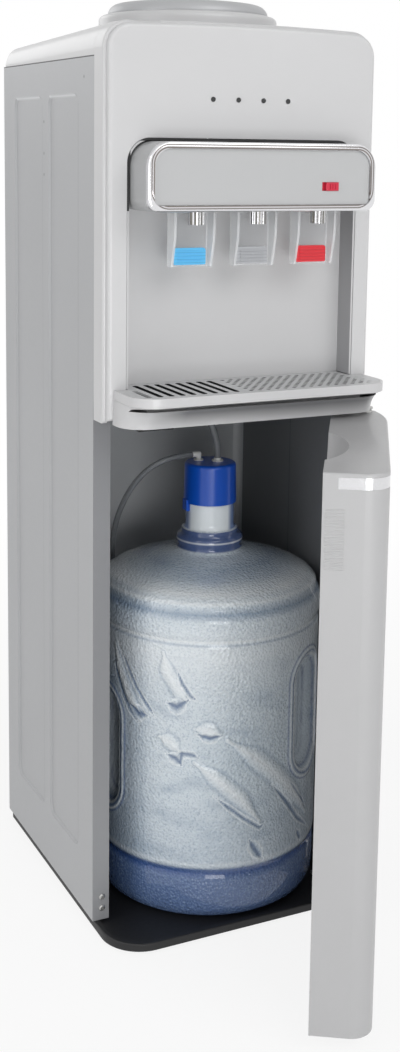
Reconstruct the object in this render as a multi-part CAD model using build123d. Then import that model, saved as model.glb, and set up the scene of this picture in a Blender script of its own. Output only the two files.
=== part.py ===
from build123d import *
import os
from math import atan2, copysign, cos, degrees, radians, sin, tan

os.makedirs("parts", exist_ok=True)

# Bottom load water cooler, free standing, hot, cold and room temperature taps.
# X runs to the right, Y to the back and Z up, in millimetres. The origin is on the floor,
# midway between the side panels and level with their front edges.

# ---- driving sizes -------------------------------------------------------------------
cabinet_w = 310.0  # over the side panels
cabinet_d = 290.0  # front edge to rear edge of a side panel
base_top = 11.0  # top of the base moulding
side_top = 932.0  # top edge of the side panels
cover_front_z = side_top + 36.0  # crest of the top cover at the front
cover_rear_z = side_top + 25.0  # crest of the top cover at the rear
sheet = 0.8  # side and back panel steel
wall = 2.5  # moulded plastic walls
gap = 0.2  # seat clearance between pieces of one body
half = cabinet_w / 2

# base moulding
foot_h = 2.5
base_inset = 2.0  # from the side panels' outer faces
base_front = -66.0
base_corner = 45.0
base_rim = 6.0
base_recess = 3.0

# side panels
flange_w = 12.0
front_flange_w = 18.8
field_depth = 2.2
field_slope = 3.0
field_low = 75.0
field_high = side_top - 36.0
fields = ((44.0, 137.0), (155.0, 252.0))  # front and rear pressed field, in Y
field_corner = 12.0
flange_screw_z = (24.6, 37.4)
flange_screw_in = 10.6  # from the panel's outer face
back_screw_z = (40.0, 480.0, side_top - 32.0)
back_screw_in = 7.0
screw_hole_r = 2.0

# front panel
panel_low = 565.0
rim_depth = 24.0
face_depth = 32.0
face_step = 3.0
panel_corner = 27.0
crown = 3.0

# dispensing niche
niche_half = half - 22.5
niche_low = 600.5
niche_high = 852.0
niche_corner = 25.0
niche_back = -5.0  # front surface of the niche's back wall

# tap housing
tap_half = niche_half - 3.9
tap_low = 780.0
tap_high = 848.6
tap_front = -70.0
trim_w = 6.5
trim_depth = 7.0
tap_top_corner = 25.0
tap_low_corner = 12.0
tap_pitch = 70.0
nozzle_y = -60.0
nozzle_r = 8.0
nozzle_low = 767.0
tap_pipe_r = 6.0
tap_pipe_z = 804.0
tap_pipe_end = 6.0  # behind the niche, where the hoses take over
lever_pivot = (-50.0, 790.0)
lever_half = 22.7
lever_low = 724.0
pin_r = 2.0
run_fit = 0.05  # radial running clearance of a pin in its bore

# drip tray
tray_top = 600.0
rim_h = 9.5
tray_half = half - 9.0
tray_front = -95.0
tray_corner = 28.0
tray_neck_half = niche_half - 3.0  # where the tray reaches back into the niche
basin_low = 575.0
grille_t = 2.4
housing_low = 565.0

# bottle bay
bay_half = half - 14.0
bay_back = cabinet_d - 41.0
liner_t = 1.5
shelf_z = 562.2
shelf_t = 1.2

# door, drawn closed
door_half = half - 1.0
door_low = 16.0
door_high = 560.0
door_back = -5.0
door_front = -65.0
door_free_corner = 22.0
door_bow_r = 143.0  # the front face falls away in a large arc beside the hinge
door_bow_len = 60.0
hinge_x = half - 8.0
hinge_y = -42.0
hinge_pin_r = 3.5
bush_r = 6.0
open_angle = 57.7  # the door stands open at rest

# bottle
bottle_x = 12.0
bottle_y = 67.0
bottle_r = 128.0
bottle_wall = 2.0
bottle_z = base_top - base_recess
bottle_room = 3.0  # left free round the bottle by the closing door

# lid on the top cover
seat_top = cover_front_z + 3.0
lid_r = 88.0
collar_r = lid_r + 10.0
lid_y = collar_r + 17.0

# cooling and heating
cold_x, cold_y, cold_r = 75.0 - half, 95.0, 56.0
cold_low, cold_high = 738.0, 905.0
foam = 14.0
tank_t = 1.2
hot_x, hot_y, hot_r = half - 73.0, 92.0, 52.0
hot_low, hot_high = 612.0, 760.0
comp_x, comp_y, comp_r, comp_h = 89.0 - half, 212.0, 54.0, 132.0
coil_low, coil_pitch, coil_passes, coil_half = 250.0, 50.0, 9, half - 30.0
coil_y = cabinet_d + 13.0
coil_r = 2.5


# ---- helpers -------------------------------------------------------------------------
def block(x, y, z):
    """Box between the ranges x, y and z."""
    size = [b - a for a, b in (x, y, z)]
    return Pos(*[(a + b) / 2 for a, b in (x, y, z)]) * Box(*size)


def rod_z(x, y, z0, z1, r):
    return Pos(x, y, (z0 + z1) / 2) * Cylinder(r, z1 - z0)


def rod_x(x0, x1, y, z, r):
    return Pos((x0 + x1) / 2, y, z) * Rot(0, 90, 0) * Cylinder(r, x1 - x0)


def rod_y(x, y0, y1, z, r):
    return Pos(x, (y0 + y1) / 2, z) * Rot(90, 0, 0) * Cylinder(r, y1 - y0)


def plate(x0, x1, y0, y1, far=0.0, near=0.0):
    """Flat face with its far (high) and near (low) corners rounded."""
    face = Pos((x0 + x1) / 2, (y0 + y1) / 2) * Rectangle(x1 - x0, y1 - y0)
    if far:
        face = fillet(face.vertices().group_by(Axis.Y)[-1], far)
    if near:
        face = fillet(face.vertices().group_by(Axis.Y)[0], near)
    return face


def arch(half_width, low, high, corner):
    """Front view of the cabinet's head: round shoulders and a slightly crowned top."""
    side = high - crown
    top = ThreePointArc((half_width, side), (0, high), (-half_width, side))
    face = make_face(
        [
            Line((-half_width, low), (half_width, low)),
            Line((half_width, low), (half_width, side)),
            top,
            Line((-half_width, side), (-half_width, low)),
        ]
    )
    return fillet(face.vertices().group_by(Axis.Y)[-1], corner)


def front(y):
    """Plane facing forwards at y, drawn in X and Z."""
    return Plane.XZ.offset(-y)


def level(z):
    return Plane.XY.offset(z)


def turned(profile, x, y, z=0.0):
    """Revolve an (r, z) face about the vertical at x, y."""
    face = profile.face()
    if face.normal_at().Z < 0:
        face = -face
    return Pos(x, y, z) * revolve(Plane.XZ * face, Axis.Z)


def ring(r0, r1, z0, z1):
    """Half section of a plain ring."""
    return make_face(Polyline((r0, z0), (r1, z0), (r1, z1), (r0, z1), close=True))


def dome(r, edge, top):
    """Arc that leaves the axis square at height top and reaches radius r at height edge."""
    rise = top - edge
    big = (r * r + rise * rise) / (2 * rise)
    mid = r / 2
    sag = big - copysign((big * big - mid * mid) ** 0.5, big)
    return ThreePointArc((0, top), (mid, top - sag), (r, edge))


def bend_radii(points, share=0.45):
    """One radius for each inner point of a hose's route."""
    radii = []
    for a, b, c in zip(points, points[1:], points[2:]):
        first = Vector(*b) - Vector(*a)
        second = Vector(*c) - Vector(*b)
        shorter = min(first.length, second.length)
        radii.append(share * shorter / tan(radians(first.get_angle(second) / 2)))
    return radii


def hose(points, r, bore, name):
    """Tube along straight runs joined by tangent arcs, or a rod where the bore is 0."""
    section = Circle(r) - Circle(bore) if bore else Circle(r)
    radii = bend_radii(points)
    path = FilletPolyline(*points, radius=radii)
    start = Plane(origin=path @ 0, z_dir=path % 0)
    tube = sweep(start * section, path=path)
    ideal = 3.14159265 * (r * r - bore * bore) * path.length
    print(name, "length", round(path.length, 1), "least radius", round(min(radii), 1),
          "volume over ideal", round(tube.volume / ideal, 4))
    return tube


pieces = {}

# ---- base ----------------------------------------------------------------------------
base_half = half - base_inset
base_plan = plate(-base_half, base_half, base_front, cabinet_d - 1, 8, base_corner)
base = extrude(level(foot_h) * base_plan, base_top - foot_h)
base = fillet(base.edges().group_by(Axis.Z)[-1], 1.5)
recess = plate(
    -base_half + base_rim,
    base_half - base_rim,
    base_front + base_rim,
    bay_back - 2,
    8,
    base_corner - base_rim,
)
base -= extrude(level(base_top - base_recess) * recess, base_recess + 1)
for fx in (37 - half, half - 37):
    for fy in (base_front + 34, cabinet_d - 32):
        base += rod_z(fx, fy, 0, foot_h, 16)
base += rod_z(0, 0, 0, foot_h, 20)
base += block((-3, 3), (base_front + 12, cabinet_d - 12), (0, foot_h))
for ry in (0, 110, 220):
    base += block((-base_half + 8, base_half - 8), (ry - 3, ry + 3), (0, foot_h))
hinge_boss = rod_z(hinge_x - 21, -18, base_top - base_recess, base_top, 9)
base += hinge_boss
pieces["base"] = [base]


# ---- side panels ---------------------------------------------------------------------
field_taper = degrees(atan2(field_slope, field_depth))
field_skin = 0.9


def pressed_field(y0, y1, grow, depth):
    """Shallow tapered pocket in the left panel, from its mouth inwards."""
    mouth = plate(y0 - grow, y1 + grow, field_low - grow, field_high + grow,
                  field_corner + grow, field_corner + grow)
    return extrude(Plane.YZ.offset(-half) * mouth, depth, taper=field_taper)


def side_panel():
    """Left panel: a shallow steel pan with return flanges and two pressed fields."""
    deep = flange_w
    pan = block((-half, -half + deep), (0, cabinet_d), (base_top, side_top))
    pan -= block(
        (-half + sheet, -half + deep + 1),
        (sheet, cabinet_d - sheet),
        (base_top + sheet, side_top - sheet),
    )
    pan += block((-half + deep, -half + front_flange_w), (0, sheet), (base_top, side_top))
    for y0, y1 in fields:
        pan += pressed_field(y0, y1, field_skin, field_depth + sheet)
        pan -= pressed_field(y0, y1, 0, field_depth)
    for screw_z in flange_screw_z:
        pan -= rod_y(-half + flange_screw_in, -1, 2, screw_z, screw_hole_r)
    for screw_z in back_screw_z:
        pan -= rod_y(-half + back_screw_in, cabinet_d - 2, cabinet_d + 1, screw_z, screw_hole_r)
    return pan


left_panel = side_panel()
pieces["side_panel_left"] = [left_panel]
pieces["side_panel_right"] = [mirror(left_panel, about=Plane.YZ)]


def pan_screw(x, y, z, out):
    """Pan-head screw along Y; out is -1 at the front and 1 at the back."""
    head = make_face(Polyline((0, -7), (1.8, -7), (1.8, 0), (3.4, 0), (3.4, 0.9), (2.2, 2.1),
                              (0, 2.1), close=True))
    screw = turned(head, 0, 0) - block((-1.8, 1.8), (-0.4, 0.4), (1.3, 3))
    return Pos(x, y, z) * Rot(-90 * out, 0, 0) * screw


screws = []
for side in (-1, 1):
    for screw_z in flange_screw_z:
        screws.append(pan_screw(side * (half - flange_screw_in), 0, screw_z, -1))

# ---- back panel ----------------------------------------------------------------------
back_y = cabinet_d
back_half = half - 1.5
back_low, back_high = base_top + 1, side_top - 3
back = block((-back_half, back_half), (back_y, back_y + sheet), (back_low, back_high))
switch_x, switch_z = 60.0 - half, 812.0
drain_x, drain_z = half - 59.0, 150.0
gland_x, gland_z = 51.0 - half, 70.0
back -= rod_y(drain_x, back_y - 1, back_y + 2, drain_z, 9)
back -= rod_y(gland_x, back_y - 1, back_y + 2, gland_z, 7)
back -= block((switch_x - 22, switch_x + 22), (back_y - 1, back_y + 2),
              (switch_z - 14, switch_z + 14))
for column_x in (-10, 80):
    for row in range(7):
        slot_z = 770 + row * 14
        slot = front(back_y - 1) * Pos(column_x, slot_z) * SlotOverall(66, 5)
        back -= extrude(slot, -3)
for column_x in (-70, 40):
    for row in range(4):
        slot = front(back_y - 1) * Pos(column_x, 40 + row * 14) * SlotOverall(66, 5)
        back -= extrude(slot, -3)
for side in (-1, 1):
    for screw_z in back_screw_z:
        screw_x = side * (half - back_screw_in)
        screws.append(pan_screw(screw_x, back_y + sheet, screw_z, 1))
        back -= rod_y(screw_x, back_y - 1, back_y + 2, screw_z, screw_hole_r)
pieces["back_panel"] = [back]

# ---- top cover -----------------------------------------------------------------------
cover_low = side_top + gap
cover_back = back_y + sheet
head = loft(
    [
        front(0) * arch(half, cover_low, cover_front_z, panel_corner),
        front(cover_back) * arch(half, cover_low, cover_rear_z, panel_corner - 6),
    ]
)
rear_edges = [
    e for e in head.edges().group_by(Axis.Y)[-1] if e.center().Z > cover_low + 1
]
head = fillet(rear_edges, 9)
seat = rod_z(0, lid_y, side_top + 10, seat_top, collar_r + 1)
head += seat
inner_head = loft(
    [
        front(-1) * arch(half - wall, cover_low - 1, cover_front_z - wall, panel_corner - wall),
        front(cover_back - wall)
        * arch(half - wall, cover_low - 1, cover_rear_z - wall, panel_corner - 6 - wall),
    ]
)
head -= inner_head
head -= rod_z(0, lid_y, side_top, seat_top + 5, lid_r - 8)
pieces["top_cover"] = [head]

collar = turned(
    make_face(
        [
            Line((lid_r + 0.8, 0), (collar_r, 0)),
            Line((collar_r, 0), (collar_r, 7)),
            ThreePointArc((collar_r, 7), (collar_r - 1.8, 11), (collar_r - 6, 12.5)),
            Line((collar_r - 6, 12.5), (lid_r + 0.8, 13.5)),
            Line((lid_r + 0.8, 13.5), (lid_r + 0.8, 0)),
        ]
    ),
    0, lid_y, seat_top)
pieces["lid_collar"] = [collar]
lid_high = 30.0
lid = turned(
    make_face(
        [
            Line((0, lid_high), (0, lid_high - wall)),
            dome(lid_r - 12, 22.4, lid_high - wall),
            Line((lid_r - 12, 22.4), (lid_r - wall, 14)),
            Line((lid_r - wall, 14), (lid_r - wall, gap)),
            Line((lid_r - wall, gap), (lid_r, gap)),
            Line((lid_r, gap), (lid_r, 15)),
            ThreePointArc((lid_r, 15), (lid_r - 3, 21), (lid_r - 11, 25)),
            dome(lid_r - 11, 25, lid_high),
        ]
    ),
    0, lid_y, seat_top)
pieces["lid"] = [lid]


# ---- front panel ---------------------------------------------------------------------
def head_front(inset, low, y0, depth):
    """One step of the front panel, as a solid of the head's front view."""
    face = arch(half - inset, low, cover_front_z - inset, panel_corner - inset)
    return extrude(front(y0) * face, depth)


rim = head_front(0, panel_low, -gap, rim_depth - gap)
rim = fillet(rim.edges().group_by(Axis.Y)[0], 3)
raised = head_front(face_step, panel_low + face_step, -rim_depth + 3, face_depth - rim_depth + 3)
raised = fillet(raised.edges().group_by(Axis.Y)[0], 4)
front_panel = rim + raised
front_panel -= head_front(wall, panel_low - 20, 1, rim_depth - wall + 1)
front_panel -= head_front(face_step + wall, panel_low - 20, -rim_depth + wall, face_depth - rim_depth)
opening = plate(-niche_half, niche_half, panel_low - 10, niche_high, niche_corner)
front_panel -= extrude(front(1) * opening, face_depth + 4)
lens_x = [4 + (i - 1.5) * 28.7 for i in range(4)]
lens_z, lens_r = cover_front_z - 77.0, 2.5
for x in lens_x:
    front_panel -= rod_y(x, -face_depth - 1, 0, lens_z, lens_r + 0.1)
pieces["front_panel"] = [front_panel]
pieces["indicator_lenses"] = [
    rod_y(x, -face_depth - 0.8, -face_depth + 4, lens_z, lens_r) for x in lens_x
]

board_y = -18.0
board = block((-52, 60), (board_y, board_y + 1.6), (lens_z - 23, lens_z + 23))
for px in (-46, 54):
    for pz in (lens_z - 18, lens_z + 18):
        board += rod_y(px, -face_depth + wall + gap, board_y, pz, 3)
for x in lens_x:
    board += rod_y(x, -face_depth + 4.2, board_y, lens_z, 2)
board += block((-30, -8), (board_y + 1.6, board_y + 7), (lens_z - 17, lens_z - 7))
board += block((14, 44), (board_y + 1.6, board_y + 5), (lens_z - 19, lens_z - 7))
pieces["control_board"] = [board]

# ---- niche ---------------------------------------------------------------------------
niche_out = niche_half - 0.5
niche_in = niche_out - 2
niche = extrude(
    front(niche_back + 2) * plate(-niche_out, niche_out, niche_low, niche_high - 0.5, niche_corner),
    face_depth + niche_back + 2 - 0.5,
)
niche -= extrude(
    front(niche_back)
    * plate(-niche_in, niche_in, niche_low - 1, niche_high - 2.5, niche_corner - 2),
    face_depth,
)
niche += block((-niche_in, niche_in), (niche_back, niche_back + 2), (housing_low, niche_low))
tap_x = [(i - 1) * tap_pitch for i in range(3)]
for x in tap_x:
    niche -= rod_y(x, niche_back - 1, niche_back + 3, tap_pipe_z, tap_pipe_r + gap)
pieces["niche_liner"] = [niche]

# ---- tap housing ---------------------------------------------------------------------

def tap_face(inset):
    return plate(-tap_half + inset, tap_half - inset, tap_low + inset, tap_high - inset,
                 tap_top_corner - inset, tap_low_corner - inset)


tap_housing = extrude(front(niche_back) * tap_face(0), niche_back - tap_front)
tap_housing -= extrude(front(niche_back + 1) * tap_face(wall), niche_back - tap_front + 2)
for x in tap_x:
    tap_housing -= block((x - 26, x + 26), (tap_front - 1, -36), (tap_low - 1, tap_low + wall + 1))
pieces["tap_housing"] = [tap_housing]

trim = extrude(front(tap_front) * tap_face(0), trim_depth)
trim = fillet(trim.edges().group_by(Axis.Y)[0], 2.5)
trim -= extrude(front(tap_front + 1) * tap_face(trim_w), trim_depth + 2)
pieces["tap_trim"] = [trim]

lock_x, lock_z = 77.5, 805.0
lock_w, lock_h, lock_travel = 15.0, 8.6, 4.0
plate_back = tap_front - 1.5
face_plate = extrude(front(plate_back) * tap_face(trim_w + gap), wall)
lock_slot = front(plate_back + 1) * plate(
    lock_x - lock_w / 2 - lock_travel - gap, lock_x + lock_w / 2 + gap,
    lock_z - lock_h / 2 - gap, lock_z + lock_h / 2 + gap)
face_plate -= extrude(lock_slot, wall + 2)
pieces["tap_face_plate"] = [face_plate]

lock = block((lock_x - lock_w / 2, lock_x + lock_w / 2),
             (plate_back - wall - 1.6, plate_back + 0.4),
             (lock_z - lock_h / 2, lock_z + lock_h / 2))
lock = fillet(lock.edges().group_by(Axis.Y)[0], 1)
for i in range(3):
    rib_x = lock_x + (i - 1) * 3.2
    lock -= block((rib_x - 0.5, rib_x + 0.5), (plate_back - wall - 3, plate_back - wall - 0.9),
                  (lock_z - lock_h / 2 + 1.4, lock_z + lock_h / 2 - 1.4))
lock += block((lock_x - lock_w / 2 - 3, lock_x + lock_w / 2 + 3),
              (plate_back + 0.3, plate_back + 1.8),
              (lock_z - lock_h / 2 - 2, lock_z + lock_h / 2 + 2))
pieces["child_lock"] = [lock]


# ---- taps and levers -----------------------------------------------------------------
def tap_body(x):
    """Valve body with its pipe to the niche wall and the boss that carries the lever pin."""
    y, z = lever_pivot
    body = rod_z(x, nozzle_y, 786, 813, 9.5)
    body += rod_y(x, nozzle_y, tap_pipe_end, tap_pipe_z, tap_pipe_r)
    boss = rod_x(x - 17, x + 17, y, z, 4.5)
    web = block((x - 6, x + 6), (y - 4, y + 4), (z, z + 10))
    return body + boss + web - rod_x(x - 20, x + 20, y, z, pin_r)


def nozzle(x):
    """Fluted outlet."""
    ring = Circle(nozzle_r)
    for i in range(9):
        ring -= Rot(0, 0, i * 40) * Pos(nozzle_r + 0.3, 0) * Circle(1.1)
    outlet = extrude(Pos(x, nozzle_y, nozzle_low) * ring, 786 - nozzle_low)
    return outlet - rod_z(x, nozzle_y, nozzle_low - 1, nozzle_low + 12, 3.6)


def lever(x):
    """Clear push lever: a back plate between two side arms that hang on the pin."""
    y, z = lever_pivot
    arm_t = 2.5
    plate_y = (-44.0, -41.5)
    outline = make_face(
        Polyline(
            (plate_y[1], lever_low), (plate_y[1], z - 10), (y + 6, z + 7), (y - 4, z + 7),
            (y - 9, z - 6), (y - 8, z - 36), (y - 1, lever_low), close=True)
    )
    outline = fillet(outline.vertices().sort_by(Axis.Y)[-2:], 3.5)
    arm = extrude(Plane.YZ.offset(x - lever_half) * outline, arm_t)
    other = extrude(Plane.YZ.offset(x + lever_half - arm_t) * outline, arm_t)
    back_plate = block((x - lever_half, x + lever_half), plate_y, (lever_low, tap_low - 2))
    made = arm + other + back_plate
    made -= rod_x(x - 30, x + 30, y, z, pin_r + run_fit)
    return made


def pad(x):
    """Ribbed push pad on the front of the lever's plate."""
    low, high, w = lever_low + 2, lever_low + 19, 17.5
    face = plate(x - w, x + w, low, high, 3, 1.5)
    made = extrude(front(-44.0) * face, 3)
    for i in range(4):
        rib_z = low + 3.2 + i * 3.4
        rib = block((x - w + 4, x + w - 4), (-48.0, -46.5), (rib_z - 0.7, rib_z + 0.7))
        made += rib
    return made


pieces["tap_bodies"] = [tap_body(x) for x in tap_x]
pieces["nozzles"] = [nozzle(x) for x in tap_x]
pieces["lever_pins"] = [
    rod_x(x - lever_half - 1, x + lever_half + 1, *lever_pivot, pin_r) for x in tap_x
]
spring_x = (17.2, lever_half - 2.5 - gap)
pieces["lever_springs"] = [
    rod_x(x + spring_x[0], x + spring_x[1], *lever_pivot, 4.2)
    - rod_x(x + spring_x[0] - 1, x + spring_x[1] + 1, *lever_pivot, pin_r + 0.1)
    for x in tap_x
]
for name, x in zip(("cold", "room", "hot"), tap_x):
    pieces["lever_" + name] = [lever(x)]
    pieces["pad_" + name] = [pad(x)]


# ---- drip tray -----------------------------------------------------------------------
def tray_plan(inset):
    """Wide in front of the panel, and narrower where it reaches into the niche."""
    wide = plate(-tray_half + inset, tray_half - inset, tray_front + inset,
                 -face_depth - gap - inset, 0, tray_corner - inset)
    neck = plate(-tray_neck_half + inset, tray_neck_half - inset,
                 -face_depth - 10, niche_back - 1 - inset)
    return wide + neck


def flare(inset, low):
    """Tray housing: narrow lip at the bottom, swept out in a hollow curve to the rim."""
    rows = (
        (low, tray_half + 1, tray_front + 25),
        (housing_low + 12, tray_half + 0.2, tray_front + 20),
        (tray_top - rim_h - gap, tray_half, tray_front + 1),
    )
    faces = [
        level(z) * plate(-w + inset, w - inset, y + inset, -face_depth - gap + 2.2 * inset,
                         0, tray_corner - inset)
        for z, w, y in rows
    ]
    return loft(faces)


housing_top = tray_top - rim_h - gap
housing = flare(0, housing_low)
sleeve = tray_neck_half + 2.0
housing += block((-sleeve, sleeve), (-face_depth - 2, niche_back), (housing_low, housing_top))
hollow_low = housing_low + wall
housing -= flare(wall, hollow_low) & block((-200, 200), (-200, -face_depth), (hollow_low, housing_top))
housing -= block((wall - sleeve, sleeve - wall), (-face_depth - 4, niche_back - wall),
                 (hollow_low, housing_top + 1))
mouth_half = tray_half - wall
housing -= extrude(
    level(housing_top - 6)
    * plate(-mouth_half, mouth_half, tray_front + 4, -face_depth - 2.7, 0, tray_corner - 3), 8)
pieces["tray_housing"] = [housing]

basin = ((5.5 - tray_neck_half, tray_neck_half - 5.5), (-66, niche_back - 7))
tray = extrude(level(tray_top - rim_h) * tray_plan(0), rim_h)
tray += block(basin[0], basin[1], (basin_low, tray_top - rim_h + 1))
tray -= extrude(level(tray_top - grille_t - 0.1) * tray_plan(3), grille_t + 1)
tray -= extrude(level(tray_top - rim_h + 2) * tray_plan(5), rim_h)
tray -= block([v + s * 2 for v, s in zip(basin[0], (1, -1))],
              [v + s * 2 for v, s in zip(basin[1], (1, -1))], (basin_low + 2, tray_top + 1))
pieces["drip_tray"] = [tray]

grille = extrude(level(tray_top - grille_t) * tray_plan(3.3), grille_t)
slot_w, slot_pitch = 6.0, 12.0
for i in range(9):
    x = 18 - tray_half + i * slot_pitch
    deep_y = -14 if abs(x) < tray_neck_half - 8 else -40
    slot = plate(x - slot_w / 2, x + slot_w / 2, -84, deep_y, 2.9, 2.9)
    grille -= extrude(level(tray_top - 4) * slot, 6)
hole_pitch = (10.0, 6.6)
hole = Polygon((-3.4, 0), (0, -2.2), (3.4, 0), (0, 2.2))
holes = []
for j in range(11):
    hole_end = tray_half - 15 if j < 6 else tray_neck_half - 10
    hole_y = -82 + j * hole_pitch[1]
    hole_x = -16 + (j % 2) * hole_pitch[0] / 2
    while hole_x < hole_end:
        holes.append(Pos(hole_x, hole_y) * hole)
        hole_x += hole_pitch[0]
grille -= extrude(level(tray_top - 4) * Sketch(children=holes), 6)
pieces["drip_grille"] = [grille]

# ---- bottle bay ----------------------------------------------------------------------
bay_out = bay_half + liner_t
bay_top = shelf_z - gap
flange_half = half - sheet - 0.5
bay = extrude(level(base_top) * plate(-bay_out, bay_out, sheet, bay_back + liner_t, 9.5),
              bay_top - base_top)
bay += block((-flange_half, flange_half), (sheet, sheet + liner_t), (base_top + 1.5, bay_top))
bay -= extrude(level(base_top - 1) * plate(-bay_half, bay_half, -10, bay_back, 8),
               bay_top - base_top + 2)
for side in (-1, 1):
    for screw_z in flange_screw_z:
        bay -= rod_y(side * (half - flange_screw_in), 0, 4, screw_z, screw_hole_r)
pieces["bay_liner"] = [bay]

shelf_half = half - sheet - field_depth - gap
shelf = block((-shelf_half, shelf_half), (1.2, cabinet_d - 1), (shelf_z, shelf_z + shelf_t))
feed_x, feed_y = 9.0, 67.0
shelf -= rod_z(feed_x, feed_y, shelf_z - 5, shelf_z + 5, 4.2)
shelf_top = shelf_z + shelf_t
pieces["bay_shelf"] = [shelf]

# ---- cold side -----------------------------------------------------------------------
stand_top = 715.0
foam_x = (cold_x - cold_r - foam, cold_x + cold_r + foam)
foam_y = (cold_y - cold_r - foam, cold_y + cold_r + foam)
stand = block(foam_x, foam_y, (stand_top - 1.2, stand_top))
stand -= rod_z(cold_x, cold_y, stand_top - 5, stand_top + 5, 30)
for x in foam_x:
    for y in (foam_y[0], foam_y[1] - 18):
        leg_x = x + 1.5 if x < cold_x else x - 1.5
        stand += block((leg_x - 1.5, leg_x + 1.5), (y, y + 18), (shelf_top, stand_top))
pieces["tank_stand"] = [stand]


def tank(x, y, r, low, high, dish):
    """Body of a pressed tank with dished ends."""
    face = make_face(
        [
            Line((0, low), (0, high)),
            dome(r, high - dish, high),
            Line((r, high - dish), (r, low + dish)),
            dome(r, low + dish, low),
        ]
    )
    return turned(face, x, y)


cold = tank(cold_x, cold_y, cold_r, cold_low, cold_high, 14)
cold -= tank(cold_x, cold_y, cold_r - tank_t, cold_low + tank_t, cold_high - tank_t, 14)
stub_r = 5.0
cold_inlet_z = cold_high + foam + 11
cold_drain = stand_top - 7
cold += rod_z(cold_x, cold_y, cold_high - 2, cold_inlet_z, stub_r)
cold += Pos(cold_x, cold_y, cold_inlet_z) * Sphere(stub_r)
cold += rod_x(cold_x, cold_x + 14, cold_y, cold_inlet_z, stub_r)
cold += rod_z(cold_x, cold_y, cold_drain, cold_low + 2, stub_r)
tap_reach = cold_y + 8 - (cold_r**2 - (tap_x[0] - cold_x) ** 2) ** 0.5
cold += rod_y(tap_x[0], tap_pipe_end, tap_reach, tap_pipe_z, stub_r)
pieces["cold_tank"] = [cold]
jacket = extrude(level(stand_top) * plate(*foam_x, *foam_y, 20, 20), cold_high + foam - stand_top - 4)
jacket -= tank(cold_x, cold_y, cold_r + gap, cold_low - gap, cold_high + gap, 14)
jacket -= rod_z(cold_x, cold_y, stand_top - 5, cold_high + foam + 5, stub_r + gap)
jacket -= rod_y(tap_x[0], 0, tap_reach, tap_pipe_z, stub_r + gap)
pieces["cold_insulation"] = [jacket]

# ---- hot side ------------------------------------------------------------------------
hot = tank(hot_x, hot_y, hot_r, hot_low, hot_high, 12)
hot -= tank(hot_x, hot_y, hot_r - tank_t, hot_low + tank_t, hot_high - tank_t, 12)
for a in (30, 150, 270):
    leg_x, leg_y = hot_x + 38 * cos(radians(a)), hot_y + 38 * sin(radians(a))
    hot += rod_z(leg_x, leg_y, shelf_top, hot_low + 7.5, 4)
hot += rod_z(hot_x, hot_y, hot_high - 2, hot_high + 12, stub_r)
hot_inlet = (hot_x - hot_r - 10, 680.0)
hot += rod_x(hot_inlet[0], hot_x - hot_r + 8, hot_y, hot_inlet[1], stub_r)
pieces["hot_tank"] = [hot]
band_low, band_high = 698.0, 736.0
band = turned(ring(hot_r + gap, hot_r + 5, band_low, band_high), hot_x, hot_y)
band += block((hot_x - 14, hot_x + 14), (hot_y - hot_r - 14, hot_y - hot_r - 4),
              (band_low + 6, band_high - 6))
pieces["heater_band"] = [band]

# ---- compressor ----------------------------------------------------------------------
mount_h = 12.0
comp_low = shelf_top + mount_h
shell = turned(
    make_face(
        [
            Line((0, 6), (0, comp_h)),
            dome(comp_r, comp_h - 30, comp_h),
            Line((comp_r, comp_h - 30), (comp_r, 28)),
            dome(comp_r, 28, 6),
        ]
    ),
    comp_x, comp_y, comp_low)
shell += turned(ring(comp_r - 1, comp_r + 2, 64, 70), comp_x, comp_y, comp_low)
foot = plate(comp_x - 62, comp_x + 62, comp_y - 40, comp_y + 40, 8, 8)
shell += extrude(level(comp_low) * foot, 3) + rod_z(comp_x, comp_y, comp_low, comp_low + 20, 30)
shell -= rod_z(comp_x, comp_y, comp_low + 34, comp_low + 92, comp_r - 12)
shell += rod_y(comp_x + 30, comp_y - comp_r - 10, comp_y, comp_low + 50, 4)
grommets = [(comp_x + sx * 52, comp_y + sy * 31) for sx in (-1, 1) for sy in (-1, 1)]
pieces["compressor"] = [shell]
pieces["compressor_mounts"] = [rod_z(x, y, shelf_top, comp_low, 8) for x, y in grommets]

# ---- condenser -----------------------------------------------------------------------
route = []
for i in range(coil_passes):
    ends = (-coil_half, coil_half) if i % 2 == 0 else (coil_half, -coil_half)
    for x in ends:
        route.append((x, coil_y, coil_low + i * coil_pitch))
coil_path = FilletPolyline(*route, radius=coil_pitch * 0.46)
coil = sweep(Plane(origin=coil_path @ 0, z_dir=coil_path % 0) * Circle(coil_r), path=coil_path)
coil_high = coil_low + (coil_passes - 1) * coil_pitch
for side in (-1, 1):
    for z in (coil_low, coil_high):
        x = side * (coil_half - 30)
        coil += block((x - 5, x + 5), (back_y + sheet, coil_y), (z - 1.5, z + 1.5))
wire_n, wire_r = 15, 0.9
wires = [
    rod_z(-coil_half + 8 + i * (2 * coil_half - 16) / (wire_n - 1),
          coil_y + coil_r + wire_r + 0.05, coil_low - 12, coil_high + 12, wire_r)
    for i in range(wire_n)
]
pieces["condenser"] = [coil] + wires

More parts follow.
